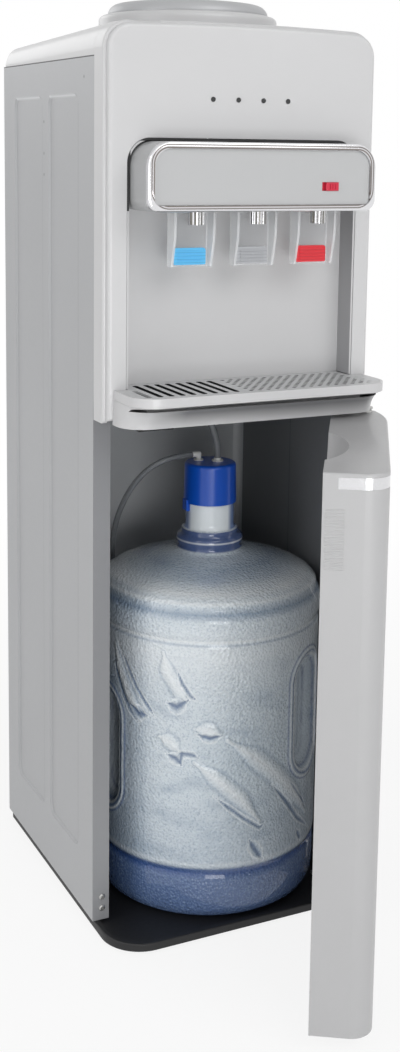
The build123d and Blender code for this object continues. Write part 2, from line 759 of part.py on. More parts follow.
# ---- pump ----------------------------------------------------------------------------
pump_x, pump_y = 62.0, 226.0
pump_z = shelf_top + 26
port_r = 4.0
pump_face = pump_y - 36
pump = rod_y(pump_x, pump_y - 14, pump_y + 36, pump_z, 19)
pump += block((pump_x - 24, pump_x + 24), (pump_face, pump_y - 12), (pump_z - 20, pump_z + 20))
pump += block((pump_x - 22, pump_x + 22), (pump_face, pump_y + 30), (shelf_top, shelf_top + 4))
pump += block((pump_x - 12, pump_x + 12), (pump_y - 8, pump_y + 26), (shelf_top, pump_z - 10))
inlet_x = pump_x - 18
outlet_x = (pump_x - 6, pump_x + 18)
outlet_y, outlet_z = pump_face + 12, pump_z + 30
pump += rod_y(inlet_x, pump_face - 8, pump_face, pump_z, port_r)
for x in outlet_x:
    pump += rod_z(x, outlet_y, pump_z + 20, outlet_z, port_r)
pieces["pump"] = [pump]

# ---- rear fittings -------------------------------------------------------------------
out_y = back_y + sheet
bezel = block((switch_x - 26, switch_x + 26), (out_y, out_y + 2), (switch_z - 18, switch_z + 18))
bezel = fillet(bezel.edges().group_by(Axis.Y)[-1], 1)
bezel += block((switch_x - 21.8, switch_x + 21.8), (out_y - 16, out_y + 1),
               (switch_z - 13.8, switch_z + 13.8))
rocker_x = [switch_x - 10.8, switch_x + 10.8]
rocker_pin_y = out_y - 3.0
for x in rocker_x:
    bezel -= block((x - 9, x + 9), (out_y - 12, out_y + 4), (switch_z - 12, switch_z + 12))
    bezel += rod_x(x - 9.5, x + 9.5, rocker_pin_y, switch_z, 1.2)
pieces["switch_bezel"] = [bezel]
rocker_tilt = 8.0


def rocker(x):
    """Rocker switch, tipped to its off position."""
    profile = make_face(
        [
            ThreePointArc((5.0, -10.5), (2.6, 0), (5.0, 10.5)),
            Line((5.0, 10.5), (-3.0, 6)),
            Line((-3.0, 6), (-3.0, -6)),
            Line((-3.0, -6), (5.0, -10.5)),
        ]
    )
    body = extrude(Plane.YZ.offset(-8.6) * profile, 17.2) - rod_x(-10, 10, 0, 0, 1.2 + run_fit)
    return Pos(x, rocker_pin_y, switch_z) * Rot(-rocker_tilt, 0, 0) * body


pieces["rocker_heat"] = [rocker(rocker_x[0])]
pieces["rocker_cool"] = [rocker(rocker_x[1])]

spout = rod_y(drain_x, back_y - 24, out_y + 22, drain_z, 8)
spout += rod_y(drain_x, out_y, out_y + 3, drain_z, 13)
spout -= rod_y(drain_x, back_y - 30, out_y + 30, drain_z, 5)
pieces["drain_spout"] = [spout]
cap_ring = Circle(12)
for i in range(10):
    cap_ring -= Rot(0, 0, i * 36) * Pos(12.4, 0) * Circle(1.4)
drain_cap = extrude(front(out_y + 26) * Pos(drain_x, drain_z) * cap_ring, 20)
drain_cap -= rod_y(drain_x, out_y, out_y + 22.3, drain_z, 8.3)
pieces["drain_cap"] = [drain_cap]

gland = rod_y(gland_x, back_y - 8, out_y + 1, gland_z, 6.8)
gland += turned(
    make_face(Polyline((3, 0), (10, 0), (10, 3), (8, 5), (5.5, 16), (3, 16), close=True)), 0, 0
).moved(Location((gland_x, out_y, gland_z), (-90, 0, 0)))
gland -= rod_y(gland_x, back_y - 20, out_y + 30, gland_z, 3.6)
pieces["cable_gland"] = [gland]
pieces["panel_screws"] = screws

# ---- bottle --------------------------------------------------------------------------
neck_r = 27.5
grips = ((182.0, 135.0), (-54.0, 176.0))  # bearing and height of each hand grip
grip_h = 78.0


def bottle_profile(inset):
    """Half section of the bottle, drawn in one piece with its neck and ribs."""
    r = bottle_r - inset
    low = inset
    collar = 38.0
    shoulder_r = collar + 0.55 * (bottle_r - 20 - collar)
    face = make_face(
        [
            Polyline((0, low + 7), (bottle_r - 50, low + 3), (bottle_r - 24, low), (r - 16, low)),
            ThreePointArc((r - 16, low), (r - 6, low + 5), (r - 2, 16)),
            Polyline((r - 2, 16), (r - 2, 52), (r - 4, 55), (r, 60), (r, 311), (r - 2, 317),
                     (r, 323), (r, 338)),
            ThreePointArc((r, 338), (r - 5, 353 - inset * 0.5), (r - 20, 362 - inset)),
            ThreePointArc((r - 20, 362 - inset), (shoulder_r - inset, 378 - inset),
                          (collar - inset, 386 - inset)),
            Polyline((collar - inset, 386 - inset), (collar - inset, 398), (33 - inset, 401),
                     (34 - inset, 406), (neck_r - inset, 409), (neck_r - inset, 472),
                     (0, 472), (0, low + 7)),
        ]
    )
    return face


def handle(turn, height, grow):
    """Upright capsule that sinks a hand grip into the bottle's side."""
    a = radians(turn)
    out = bottle_r + 18
    x, y = bottle_x + out * cos(a), bottle_y + out * sin(a)
    r, low, high = 34 + grow, bottle_z + height, bottle_z + height + grip_h
    return rod_z(x, y, low, high, r) + Pos(x, y, low) * Sphere(r) + Pos(x, y, high) * Sphere(r)


bottle = turned(bottle_profile(0), bottle_x, bottle_y, bottle_z)
cavity = turned(bottle_profile(bottle_wall), bottle_x, bottle_y, bottle_z)
cavity += rod_z(bottle_x, bottle_y, bottle_z + 420, bottle_z + 480, neck_r - bottle_wall)
for turn, height in grips:
    bottle -= handle(turn, height, 0)
    cavity -= handle(turn, height, bottle_wall)
bottle -= cavity
pieces["bottle"] = [bottle]

cap_low, cap_high = bottle_z + 440, bottle_z + 485
cap = turned(
    make_face(
        [
            Line((0, 0), (neck_r + 2.4, 0)),
            Line((neck_r + 2.4, 0), (neck_r + 1.6, 41)),
            ThreePointArc((neck_r + 1.6, 41), (neck_r + 0.4, 44), (neck_r - 2.6, 45)),
            Line((neck_r - 2.6, 45), (0, 45)),
            Line((0, 45), (0, 0)),
        ]
    ),
    bottle_x, bottle_y, cap_low)
cap -= rod_z(bottle_x, bottle_y, cap_low - 1, bottle_z + 472 + gap, neck_r + gap)
cap -= rod_z(bottle_x, bottle_y, bottle_z + 460, cap_high - wall, neck_r - 3)
probe_x, probe_y, probe_r = bottle_x + 8, bottle_y - 2, 4.0
elbow_x, elbow_y = bottle_x - 10, bottle_y + 10
cap -= rod_z(probe_x, probe_y, cap_high - 10, cap_high + 5, probe_r + gap / 2)
cap -= rod_z(elbow_x, elbow_y, cap_high - 10, cap_high + 5, 3 + gap / 2)
tab = front(bottle_y - 5) * plate(bottle_x - neck_r - 4, bottle_x - neck_r + 1, cap_low - 9, cap_low + 4,
                                  0, 2)
cap += extrude(tab, -10) - rod_z(bottle_x, bottle_y, cap_low - 12, cap_low + 10, neck_r + gap)
pieces["bottle_cap"] = [cap]

probe_top = cap_high + 4
probe = rod_z(probe_x, probe_y, bottle_z + 14, probe_top, probe_r)
probe += rod_z(probe_x, probe_y, cap_high, cap_high + 1.5, 6.5)
probe -= rod_z(probe_x, probe_y, bottle_z, probe_top + 1, 2.6)
pieces["dip_tube"] = [probe]

# ---- hoses in the bay ----------------------------------------------------------------
feed_top = shelf_z - 6
water_points = [
    (probe_x, probe_y, probe_top),
    (probe_x, probe_y, probe_top + 15),
    (probe_x - 6, probe_y + 1, probe_top + 34),
    (feed_x, feed_y, feed_top - 14),
    (feed_x, feed_y, feed_top),
]
pieces["water_hose"] = [hose(water_points, 4.0, 2.6, "water hose")]

elbow_z = cap_high + 7
wall_x, wall_z = -36.0, 296.0
wall_stub = bay_back - 11
return_points = [
    (elbow_x - 8, elbow_y, elbow_z),
    (-30, elbow_y, elbow_z),
    (-56, 84, 488),
    (-72, 97, 464),
    (-77, 116, 436),
    (-75, 138, 408),
    (-69, 160, 380),
    (-60, 182, 350),
    (-46, 196, 322),
    (wall_x, wall_stub - 28, wall_z),
    (wall_x, wall_stub, wall_z),
]
pieces["return_hose"] = [hose(return_points, 3.25, 2.0, "return hose")]

roof_fitting = rod_z(feed_x, feed_y, feed_top, shelf_z - gap, 6)
roof_fitting += rod_z(feed_x, feed_y, feed_top, shelf_top + 16, 4)
roof_fitting -= rod_z(feed_x, feed_y, feed_top - 1, shelf_top + 20, 2.6)
elbow = rod_z(elbow_x, elbow_y, cap_high - 6, elbow_z, 3)
elbow += rod_z(elbow_x, elbow_y, cap_high, cap_high + 1.5, 5.5)
elbow += Pos(elbow_x, elbow_y, elbow_z) * Sphere(3.25)
elbow += rod_x(elbow_x - 8, elbow_x, elbow_y, elbow_z, 3.25)
wall_fitting = rod_y(wall_x, wall_stub, bay_back, wall_z, 4.5)
wall_fitting += rod_y(wall_x, bay_back - 3, bay_back, wall_z, 8)
pieces["hose_fittings"] = [roof_fitting, elbow, wall_fitting]

# ---- inner hoses ---------------------------------------------------------------------
tube_r = 3.5
feed_end = shelf_top + 16
inner_routes = {
    "suction hose": [
        (feed_x, feed_y, feed_end),
        (feed_x, feed_y, 612),
        (18, 90, 634),
        (30, 120, 634),
        (38, 138, 614),
        (inlet_x, 158, pump_z),
        (inlet_x, pump_face - 8, pump_z),
    ],
    "cold feed hose": [
        (outlet_x[0], outlet_y, outlet_z),
        (outlet_x[0], outlet_y, 665),
        (50, 196, 735),
        (38, 184, 805),
        (24, 168, 865),
        (14, 140, 898),
        (-6, 112, 922),
        (-34, cold_y, cold_inlet_z),
        (cold_x + 14, cold_y, cold_inlet_z),
    ],
    "room tap hose": [
        (outlet_x[1], outlet_y, outlet_z),
        (outlet_x[1], outlet_y, 665),
        (77, 190, 725),
        (68, 164, 780),
        (50, 130, 818),
        (26, 94, 832),
        (8, 62, 822),
        (tap_x[1], 32, tap_pipe_z),
        (tap_x[1], tap_pipe_end, tap_pipe_z),
    ],
    "hot feed hose": [
        (cold_x, cold_y, cold_drain),
        (cold_x, cold_y, 682),
        (-62, 95, 660),
        (-34, 94, 660),
        (-6, hot_y, hot_inlet[1]),
        (hot_inlet[0], hot_y, hot_inlet[1]),
    ],
    "hot tap hose": [
        (tap_x[2], tap_pipe_end, tap_pipe_z),
        (tap_x[2], 40, tap_pipe_z),
        (76, 66, 816),
        (hot_x, hot_y, 800),
        (hot_x, hot_y, hot_high + 12),
    ],
}
pieces["inner_hoses"] = [hose(p, tube_r, 0, name) for name, p in inner_routes.items()]

# ---- door ----------------------------------------------------------------------------
bow_drop = door_bow_r - (door_bow_r**2 - door_bow_len**2) ** 0.5
bow_mid = door_bow_r - (door_bow_r**2 - (door_bow_len / 2) ** 2) ** 0.5


def door_plan(inset, back):
    """Plan of the closed door: square at the back, round at the free end, bowed at the hinge."""
    h = door_half - inset
    f = door_front + inset
    r = door_free_corner - inset
    bow_x = door_half - door_bow_len
    face = make_face(
        [
            Line((-h, back), (-h, f + r)),
            ThreePointArc((-h, f + r), (-h + r * (1 - cos(radians(45))), f + r * (1 - sin(radians(45)))),
                          (-h + r, f)),
            Line((-h + r, f), (bow_x, f)),
            ThreePointArc((bow_x, f), (door_half - door_bow_len / 2, f + bow_mid),
                          (h, f + bow_drop - inset * 0.45)),
            Line((h, f + bow_drop - inset * 0.45), (h, back)),
            Line((h, back), (-h, back)),
        ]
    )
    return face


def scoop(grow):
    """Finger scoop along the top inner edge."""
    r = 24 + grow
    long = 70 + grow
    lens = make_face([Line((-long, 0), (long, 0)), ThreePointArc((long, 0), (0, r), (-long, 0))])
    return Pos(-40, door_back + 2, door_high + 5) * revolve(lens, Axis.X)


def bottle_space(low, high):
    """Room for the bottle inside the closed door, behind its front wall."""
    disc = rod_z(bottle_x, bottle_y, low, high, bottle_r + bottle_room)
    return disc & block((-half, half), (door_front + wall, 0), (low, high))


door_h = door_high - door_low
outer = extrude(level(door_low) * door_plan(0, door_back), door_h)
outer = fillet(outer.edges().group_by(Axis.Z)[-1].sort_by(Axis.Y)[:-1], 2)
hollow = extrude(level(door_low + wall) * door_plan(wall, door_back + 10), door_h - 2 * wall)
hollow -= scoop(wall)
door = outer - hollow - bottle_space(door_low - 1, door_low + wall)
bosses = [
    rod_z(hinge_x, hinge_y, door_low, door_low + 14, bush_r + 2.5),
    rod_z(hinge_x, hinge_y, door_high - 14, door_high, bush_r + 2.5),
]
for boss in bosses:
    door += boss & extrude(level(door_low) * door_plan(0.3, door_back), door_h)
    door -= rod_z(hinge_x, hinge_y, boss.bounding_box().min.Z - 1, boss.bounding_box().max.Z + 1, bush_r)
door -= scoop(0)

# bright trim let into the free end, below the top edge
trim_z = (door_high - 15, door_high - 4)
trim_in = 1.2


def end_strip(outside, inside, z0, z1):
    """Strip that follows the free end's outline."""
    ring = door_plan(outside, door_back + 1) - door_plan(inside, door_back + 2)
    strip = extrude(level(z0) * ring, z1 - z0)
    return strip & block((-door_half - 5, -door_half + 32), (-80, door_back - 14), (z0, z1))


door -= end_strip(-1, trim_in, *trim_z)
pieces_door_trim = end_strip(0, trim_in, trim_z[0] + 0.1, trim_z[1] - 0.1)

# grip ribs on the free end, near the inner edge
rib_pitch, rib_n = 3.2, 18
for i in range(rib_n):
    rib_z = door_high - 34 - i * rib_pitch
    rib = rod_y(-door_half + 0.3, door_back - 20, door_back - 3, rib_z, 0.9)
    door += rib

frame_in = 16.0
frame_t = 2.0
frame_y = (door_back - 6.0, door_back - 4.0)
inner_face = plate(-door_half + wall + gap, door_half - wall - gap, door_low + wall + gap,
                   door_high - wall - gap, 2, 2)
mouth = plate(-door_half + frame_in, door_half - frame_in, door_low + frame_in, door_high - 44, 10, 10)
door_frame = extrude(front(frame_y[1]) * (inner_face - mouth), frame_t)
lip = plate(-door_half + frame_in - frame_t, door_half - frame_in + frame_t,
            door_low + frame_in - frame_t, door_high - 44 + frame_t, 12, 12)
door_frame += extrude(front(frame_y[1]) * (lip - mouth), 14)
door_frame -= scoop(wall + gap)
door_frame -= bottle_space(door_low, door_low + frame_in + 1)
door_frame -= rod_z(hinge_x, hinge_y, door_low, door_low + 16, bush_r + 3)
door_frame -= rod_z(hinge_x, hinge_y, door_high - 16, door_high, bush_r + 3)


def bush(z0, z1, flange0, flange1):
    made = rod_z(hinge_x, hinge_y, z0, z1, bush_r) + rod_z(hinge_x, hinge_y, flange0, flange1, 6.8)
    return made - rod_z(hinge_x, hinge_y, min(z0, flange0) - 1, max(z1, flange1) + 1,
                        hinge_pin_r + run_fit)


bracket_t = 3.0
low_bush = bush(door_low - 1.7, door_low + 13, door_low - 1.7, door_low)
top_bush = bush(door_high - 13, door_high + 1.7, door_high, door_high + 1.7)


def swung(*solids):
    """Turn pieces of the door from closed to where it stands open."""
    pivot = Axis((hinge_x, hinge_y, 0), (0, 0, 1))
    return [s.rotate(pivot, open_angle) for s in solids]


pieces["door_shell"] = swung(door)
pieces["door_frame"] = swung(door_frame)
pieces["door_trim"] = swung(pieces_door_trim)
pieces["hinge_bushes"] = swung(low_bush, top_bush)


def bracket(z0, z1, pin0, pin1, tongue):
    """Hinge plate with its pin and a tongue that reaches back to its fixing."""
    eye = Pos(hinge_x, hinge_y) * Circle(7.5)
    root = Pos(hinge_x - 24, -20) * Rectangle(22, 20)
    plan = make_hull(eye.edges() + root.edges())
    made = extrude(level(z0) * plan, z1 - z0)
    made += block((hinge_x - 35, hinge_x - 13), (-20, tongue), (z0, z1))
    return made + rod_z(hinge_x, hinge_y, pin0, pin1, hinge_pin_r)


pieces["hinge_lower"] = [bracket(base_top, base_top + bracket_t, base_top, door_low + 12, -8)]
pieces["hinge_upper"] = [bracket(shelf_top, housing_low, door_high - 12, housing_low, 20)]
catch_x = (24 - door_half, 62 - door_half)
pieces["magnet_catch"] = [block(catch_x, (-60, -46), (housing_low - 3.5, housing_low))]

# ---- write ---------------------------------------------------------------------------
for name, solids in pieces.items():
    made = [s for piece in solids for s in piece.solids()]
    export_step(made[0] if len(made) == 1 else Compound(children=made), f"parts/{name}.step")
print(len(pieces), "nodes")
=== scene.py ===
# %% [markdown]
# # A bottom load water cooler, one step at a time
# The cabinet's pieces come from the CAD model, with their true sizes and places. Each one gets a
# finish here. The few pieces whose look needs more than a plain solid, such as the blown bottle
# and the clear hoses, are made as meshes that take the place of their CAD solids.
# All lengths are in metres. X runs to the right, Y to the back and Z up from the floor.

# %% Load the model
from math import cos, degrees, exp, pi, radians, sin, sqrt

import bmesh
import bpy
from mathutils import Matrix, Vector


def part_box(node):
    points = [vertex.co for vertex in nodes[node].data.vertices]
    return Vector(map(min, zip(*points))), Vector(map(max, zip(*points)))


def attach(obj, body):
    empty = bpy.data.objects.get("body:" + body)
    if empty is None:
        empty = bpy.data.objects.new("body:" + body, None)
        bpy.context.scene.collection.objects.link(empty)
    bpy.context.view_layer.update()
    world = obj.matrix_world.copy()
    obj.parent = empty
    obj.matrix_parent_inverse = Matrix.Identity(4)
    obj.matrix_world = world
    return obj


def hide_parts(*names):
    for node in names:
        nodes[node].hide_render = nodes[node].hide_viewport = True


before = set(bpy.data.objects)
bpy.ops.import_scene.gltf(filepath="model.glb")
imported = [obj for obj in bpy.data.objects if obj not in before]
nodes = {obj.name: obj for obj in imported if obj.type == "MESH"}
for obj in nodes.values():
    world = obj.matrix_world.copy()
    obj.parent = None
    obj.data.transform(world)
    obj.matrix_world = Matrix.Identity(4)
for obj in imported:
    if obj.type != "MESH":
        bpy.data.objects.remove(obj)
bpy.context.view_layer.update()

mm = 0.001

# %% [markdown]
# ## Camera
# The camera stands left of the cabinet and a little below its top, as in the catalogue picture.
# Its axes are worked out from the heading, the tilt and a small roll. The lens shift keeps the
# view level on the upper half while the frame still takes in the floor.

# %% Camera
eye = Vector((-0.6721, -1.3283, 0.8458))
heading, tilt, roll = radians(26.0), radians(-8.5), radians(0.8)
ahead = Vector((sin(heading) * cos(tilt), cos(heading) * cos(tilt), sin(tilt)))
level_right = Vector((cos(heading), -sin(heading), 0.0))
level_up = level_right.cross(ahead)
right = level_right * cos(roll) + level_up * sin(roll)
up = level_up * cos(roll) - level_right * sin(roll)

camera_data = bpy.data.cameras.new("camera")
camera_data.sensor_width = 36.0
camera_data.lens = 48.23
camera_data.shift_x = -0.0085
camera_data.shift_y = -0.1623
camera = bpy.data.objects.new("camera", camera_data)
camera.matrix_world = Matrix(
    (
        (right.x, up.x, -ahead.x, eye.x),
        (right.y, up.y, -ahead.y, eye.y),
        (right.z, up.z, -ahead.z, eye.z),
        (0.0, 0.0, 0.0, 1.0),
    )
)
bpy.context.scene.collection.objects.link(camera)
bpy.context.scene.camera = camera
bpy.context.scene.view_settings.view_transform = "Standard"
print("camera", round(eye.length, 3), "m from the cabinet's foot")

# %% [markdown]
# ## Sums on sockets
# A finish is a small sum: a base tone, plus a little noise, times a mask. Writing such sums as
# plain Python keeps them readable, so one class wraps a node's output and turns +, -, * and /
# into Math nodes. A second class holds the material and adds every other kind of node.


# %% Shader sums
def feed(slot, item):
    """Link a value to a socket, or set the socket's own number or colour."""
    if isinstance(item, Value):
        slot.id_data.links.new(item.socket, slot)
    elif slot.type == "RGBA":
        slot.default_value = (*item[:3], 1.0)
    else:
        slot.default_value = item


class Value:
    """A node's output that can be used in a sum."""

    def __init__(self, socket):
        self.socket = socket

    def maths(self, operation, first, second=0.0):
        node = self.socket.id_data.nodes.new("ShaderNodeMath")
        node.operation = operation
        feed(node.inputs[0], first)
        feed(node.inputs[1], second)
        return Value(node.outputs[0])

    def __add__(self, other):
        return self.maths("ADD", self, other)

    def __sub__(self, other):
        return self.maths("SUBTRACT", self, other)

    def __rsub__(self, other):
        return self.maths("SUBTRACT", other, self)

    def __mul__(self, other):
        return self.maths("MULTIPLY", self, other)

    def __truediv__(self, other):
        return self.maths("DIVIDE", self, other)

    def __gt__(self, other):
        return self.maths("GREATER_THAN", self, other)

    def __lt__(self, other):
        return self.maths("LESS_THAN", self, other)

    def __abs__(self):
        return self.maths("ABSOLUTE", self)

    __radd__ = __add__
    __rmul__ = __mul__

    def larger(self, other):
        return self.maths("MAXIMUM", self, other)

    def smaller(self, other):
        return self.maths("MINIMUM", self, other)

    def root(self):
        return self.maths("SQRT", self)

    def clipped(self):
        return self.larger(0.0).smaller(1.0)

    def near(self, middle, reach):
        """1 at the middle value, falling to 0 at that reach on both sides."""
        return (1 - abs(self - middle) / reach).clipped()


class Finish:
    """A material with one Principled shader."""

    def __init__(self, name, tone, **sockets):
        self.material = bpy.data.materials.new(name)
        self.material.use_nodes = True
        self.tree = self.material.node_tree
        self.shader = self.tree.nodes["Principled BSDF"]
        self.set(Base_Color=tone, **sockets)

    def set(self, **sockets):
        for name, item in sockets.items():
            feed(self.shader.inputs[name.replace("_", " ")], item)

    def node(self, kind, settings=None, **sockets):
        made = self.tree.nodes.new(kind)
        for name, setting in (settings or {}).items():
            setattr(made, name, setting)
        for name, item in sockets.items():
            feed(made.inputs[name.replace("_", " ")], item)
        return made

    def place(self):
        """The point's X, Y and Z in metres, in the piece's own space."""
        spot = self.node("ShaderNodeTexCoord").outputs["Object"]
        split = self.node("ShaderNodeSeparateXYZ", Vector=Value(spot))
        return [Value(out) for out in split.outputs]

    def noise(self, per_metre, detail=2.0, stretch=(1.0, 1.0, 1.0)):
        """Soft noise from 0 to 1, with about that many grains in a metre."""
        spot = Value(self.node("ShaderNodeTexCoord").outputs["Object"])
        spot = Value(self.node("ShaderNodeMapping", Vector=spot, Scale=stretch).outputs[0])
        return Value(
            self.node("ShaderNodeTexNoise", Vector=spot, Scale=per_metre, Detail=detail).outputs[0]
        )

    def pebbles(self, per_metre):
        """Distance to the nearest grain of a pebbled surface."""
        spot = Value(self.node("ShaderNodeTexCoord").outputs["Object"])
        return Value(self.node("ShaderNodeTexVoronoi", Vector=spot, Scale=per_metre).outputs[0])

    def tint(self, mask, low, high):
        """Colour that goes from low to high as the mask goes from 0 to 1."""
        mix = self.node("ShaderNodeMix", {"data_type": "RGBA"})
        feed(mix.inputs[0], mask)
        feed(mix.inputs[6], low)
        feed(mix.inputs[7], high)
        return Value(mix.outputs[2])

    def relief(self, height, depth, strength=1.0):
        bump = self.node("ShaderNodeBump", Height=height, Distance=depth, Strength=strength)
        self.set(Normal=Value(bump.outputs[0]))


def tone(red, green, blue):
    """Linear colour from the 0 to 255 numbers of a colour chart."""

    def linear(step):
        part = step / 255
        return part / 12.92 if part <= 0.04045 else ((part + 0.055) / 1.055) ** 2.4

    return tuple(linear(step) for step in (red, green, blue))


def shade(colour, amount):
    """The same colour, made darker or lighter by a factor."""
    return tuple(min(1.0, part * amount) for part in colour)


print("shader helpers ready")

# %% [markdown]
# ## Patterns from rules
# Wires, springs and slot rims repeat the same small form along a rule. Geometry Nodes make such
# pieces from a few named sizes: one form, placed on a line of points. The helper below builds a
# tree, runs it once, and keeps the plain mesh, so nothing depends on the modifier afterwards.


# %% Pattern trees
class Pattern:
    """A Geometry Nodes tree with named sizes, and the plain mesh that it makes."""

    def __init__(self, name, finish):
        self.name, self.finish = name, finish
        self.tree = bpy.data.node_groups.new(name, "GeometryNodeTree")
        self.tree.interface.new_socket(
            "Geometry", in_out="OUTPUT", socket_type="NodeSocketGeometry"
        )
        self.start = self.tree.nodes.new("NodeGroupInput")
        self.sizes = {}

    def size(self, name, number, kind="NodeSocketFloat"):
        made = self.tree.interface.new_socket(name, in_out="INPUT", socket_type=kind)
        self.sizes[made.identifier] = number
        return Value(self.start.outputs[name])

    def count(self, name, number):
        return self.size(name, number, "NodeSocketInt")

    def node(self, kind, settings=None, **sockets):
        made = self.tree.nodes.new(kind)
        for name, setting in (settings or {}).items():
            setattr(made, name, setting)
        for name, item in sockets.items():
            feed(made.inputs[name.replace("_", " ")], item)
        return Value(made.outputs[0])

    def point(self, x=0.0, y=0.0, z=0.0):
        return self.node("ShaderNodeCombineXYZ", X=x, Y=y, Z=z)

    def tube(self, path, radius, sides=8):
        ring = self.node("GeometryNodeCurvePrimitiveCircle", Resolution=sides, Radius=radius)
        return self.node(
            "GeometryNodeCurveToMesh", Curve=path, Profile_Curve=ring, Fill_Caps=True
        )

    def straight(self, start, end):
        return self.node("GeometryNodeCurvePrimitiveLine", Start=start, End=end)

    def row(self, form, number, first, step, turn=None):
        """Copies of a form on a straight row of points."""
        line = self.node(
            "GeometryNodeMeshLine", Count=number, Start_Location=first, Offset=step
        )
        return self.node(
            "GeometryNodeInstanceOnPoints", Points=line, Instance=form, Rotation=turn or (0, 0, 0)
        )

    def made(self, *forms):
        """Run the tree on these forms and return an object with the plain mesh."""
        join = self.tree.nodes.new("GeometryNodeJoinGeometry")
        for form in forms:
            feed(join.inputs[0], form)
        whole = self.node("GeometryNodeRealizeInstances", Geometry=Value(join.outputs[0]))
        coated = self.node(
            "GeometryNodeSetMaterial", Geometry=whole, Material=self.finish.material
        )
        feed(self.tree.nodes.new("NodeGroupOutput").inputs[0], coated)
        piece = bpy.data.objects.new(self.name, bpy.data.meshes.new(self.name + "_start"))
        modifier = piece.modifiers.new(self.name, "NODES")
        modifier.node_group = self.tree
        for identifier, number in self.sizes.items():
            modifier[identifier] = number
        bpy.context.scene.collection.objects.link(piece)
        graph = bpy.context.evaluated_depsgraph_get()
        plain = bpy.data.meshes.new_from_object(piece.evaluated_get(graph))
        piece.modifiers.clear()
        piece.data = plain
        print(self.name, len(plain.polygons), "faces")
        return piece


print("pattern helper ready")

# %% [markdown]
# ## Stage and light
# A pale floor and a white surround, as in a product studio. One large soft lamp stands at the
# front right, so that faces which look forward are the brightest and the left side falls off a
# little. A lower lamp in front shines into the bay, past the open door, and lights the bottle,
# and one behind keeps the back from going dull.
# The camera sees the surround as plain white, and the floor still keeps a soft shadow.


# %% Floor
def plain_rays(tree):
    """1 for rays that go to the lens or come by gloss or glass, and 0 for the rest."""
    rays = tree.nodes.new("ShaderNodeLightPath").outputs
    seen = Value(rays["Is Camera Ray"]) + Value(rays["Is Glossy Ray"])
    return (seen + Value(rays["Is Transmission Ray"])).clipped()


def mixed(tree, share, first, second):
    """Shader that goes from the first to the second as the share goes from 0 to 1."""
    mix = tree.nodes.new("ShaderNodeMixShader")
    feed(mix.inputs[0], share)
    tree.links.new(first, mix.inputs[1])
    tree.links.new(second, mix.inputs[2])
    return mix.outputs[0]


floor_finish = Finish("studio_floor", (0.86, 0.86, 0.86), Roughness=0.9)
floor_tree = floor_finish.tree
floor_x, floor_y = floor_finish.place()[:2]
from_middle = (floor_x * floor_x + floor_y * floor_y).root()
shadow_reach, fade, least_white = 0.5, 1.2, 0.86
whiteness = ((from_middle - shadow_reach) / fade).clipped() * (1 - least_white) + least_white
floor_look = mixed(
    floor_tree,
    plain_rays(floor_tree) * whiteness,
    floor_finish.shader.outputs[0],
    floor_tree.nodes.new("ShaderNodeEmission").outputs[0],
)
floor_tree.links.new(floor_look, floor_tree.nodes["Material Output"].inputs[0])
floor_r, floor_z = 9.0, -0.0002
floor_mesh = bpy.data.meshes.new("studio_floor")
floor_rim = [radians(a) for a in range(0, 360, 10)]
floor_points = [(floor_r * cos(a), floor_r * sin(a), floor_z) for a in floor_rim]
floor_mesh.from_pydata(floor_points, [], [tuple(range(len(floor_points)))])
floor_mesh.materials.append(floor_finish.material)
studio_floor = bpy.data.objects.new("studio_floor", floor_mesh)
bpy.context.scene.collection.objects.link(studio_floor)
print("floor", 2 * floor_r, "m across")


# %% Lamps
def soft_lamp(name, spot, target, size, power):
    lamp = bpy.data.lights.new(name, "AREA")
    lamp.shape = "RECTANGLE"
    lamp.size, lamp.size_y = size
    lamp.energy = power
    stand = bpy.data.objects.new(name, lamp)
    stand.location = spot
    stand.rotation_euler = (Vector(target) - Vector(spot)).to_track_quat("-Z", "Y").to_euler()
    bpy.context.scene.collection.objects.link(stand)


soft_lamp("front_lamp", (0.55, -2.3, 2.3), (0.0, 0.0, 0.55), (2.0, 1.5), 22.0)
soft_lamp("side_lamp", (-2.6, -0.6, 1.5), (0.0, 0.1, 0.5), (1.4, 2.0), 14.0)
soft_lamp("bay_lamp", (-0.45, -1.9, 0.42), (0.02, 0.05, 0.3), (0.9, 0.5), 9.5)
soft_lamp("back_lamp", (-0.9, 2.6, 1.7), (0.0, 0.3, 0.5), (1.6, 1.2), 9.0)
world = bpy.data.worlds.new("studio_air")
bpy.context.scene.world = world
world.use_nodes = True
air_tree = world.node_tree
air, bright = air_tree.nodes["Background"], air_tree.nodes.new("ShaderNodeBackground")
for surround, strength in ((air, 0.46), (bright, 1.0)):
    surround.inputs["Color"].default_value = (1.0, 1.0, 1.0, 1.0)
    surround.inputs["Strength"].default_value = strength
air_look = mixed(air_tree, plain_rays(air_tree), air.outputs[0], bright.outputs[0])
air_tree.links.new(air_look, air_tree.nodes["World Output"].inputs["Surface"])
print("four lamps and a pale surround")

# %% [markdown]
# ## Hoses
# The hoses are soft silicone tube. Each follows a smooth curve whose control points are the
# route's own, starting straight out of its fitting. A round bevel gives the curve its thickness.
# The water hose drops from the bay's roof into the bottle's cap, and the return hose loops from
# the cap down behind the bottle. The inner hoses join the pump, the tanks and the taps.

# %% Hose routes
hose_routes = {
    # outer radius in millimetres, length in metres, control points in millimetres
    "water_hose": (
        4.0,
        0.061,
        [(20, 65, 497), (20, 65, 512), (14, 66, 531), (9, 67, 542.2), (9, 67, 556.2)],
    ),
    "return_hose": (
        3.25,
        0.318,
        [
            (-6, 77, 500),
            (-30, 77, 500),
            (-56, 84, 488),
            (-72, 97, 464),
            (-77, 116, 436),
            (-75, 138, 408),
            (-69, 160, 380),
            (-60, 182, 350),
            (-46, 196, 322),
            (-36, 210, 296),
            (-36, 238, 296),
        ],
    ),
}
print(len(hose_routes), "hoses")

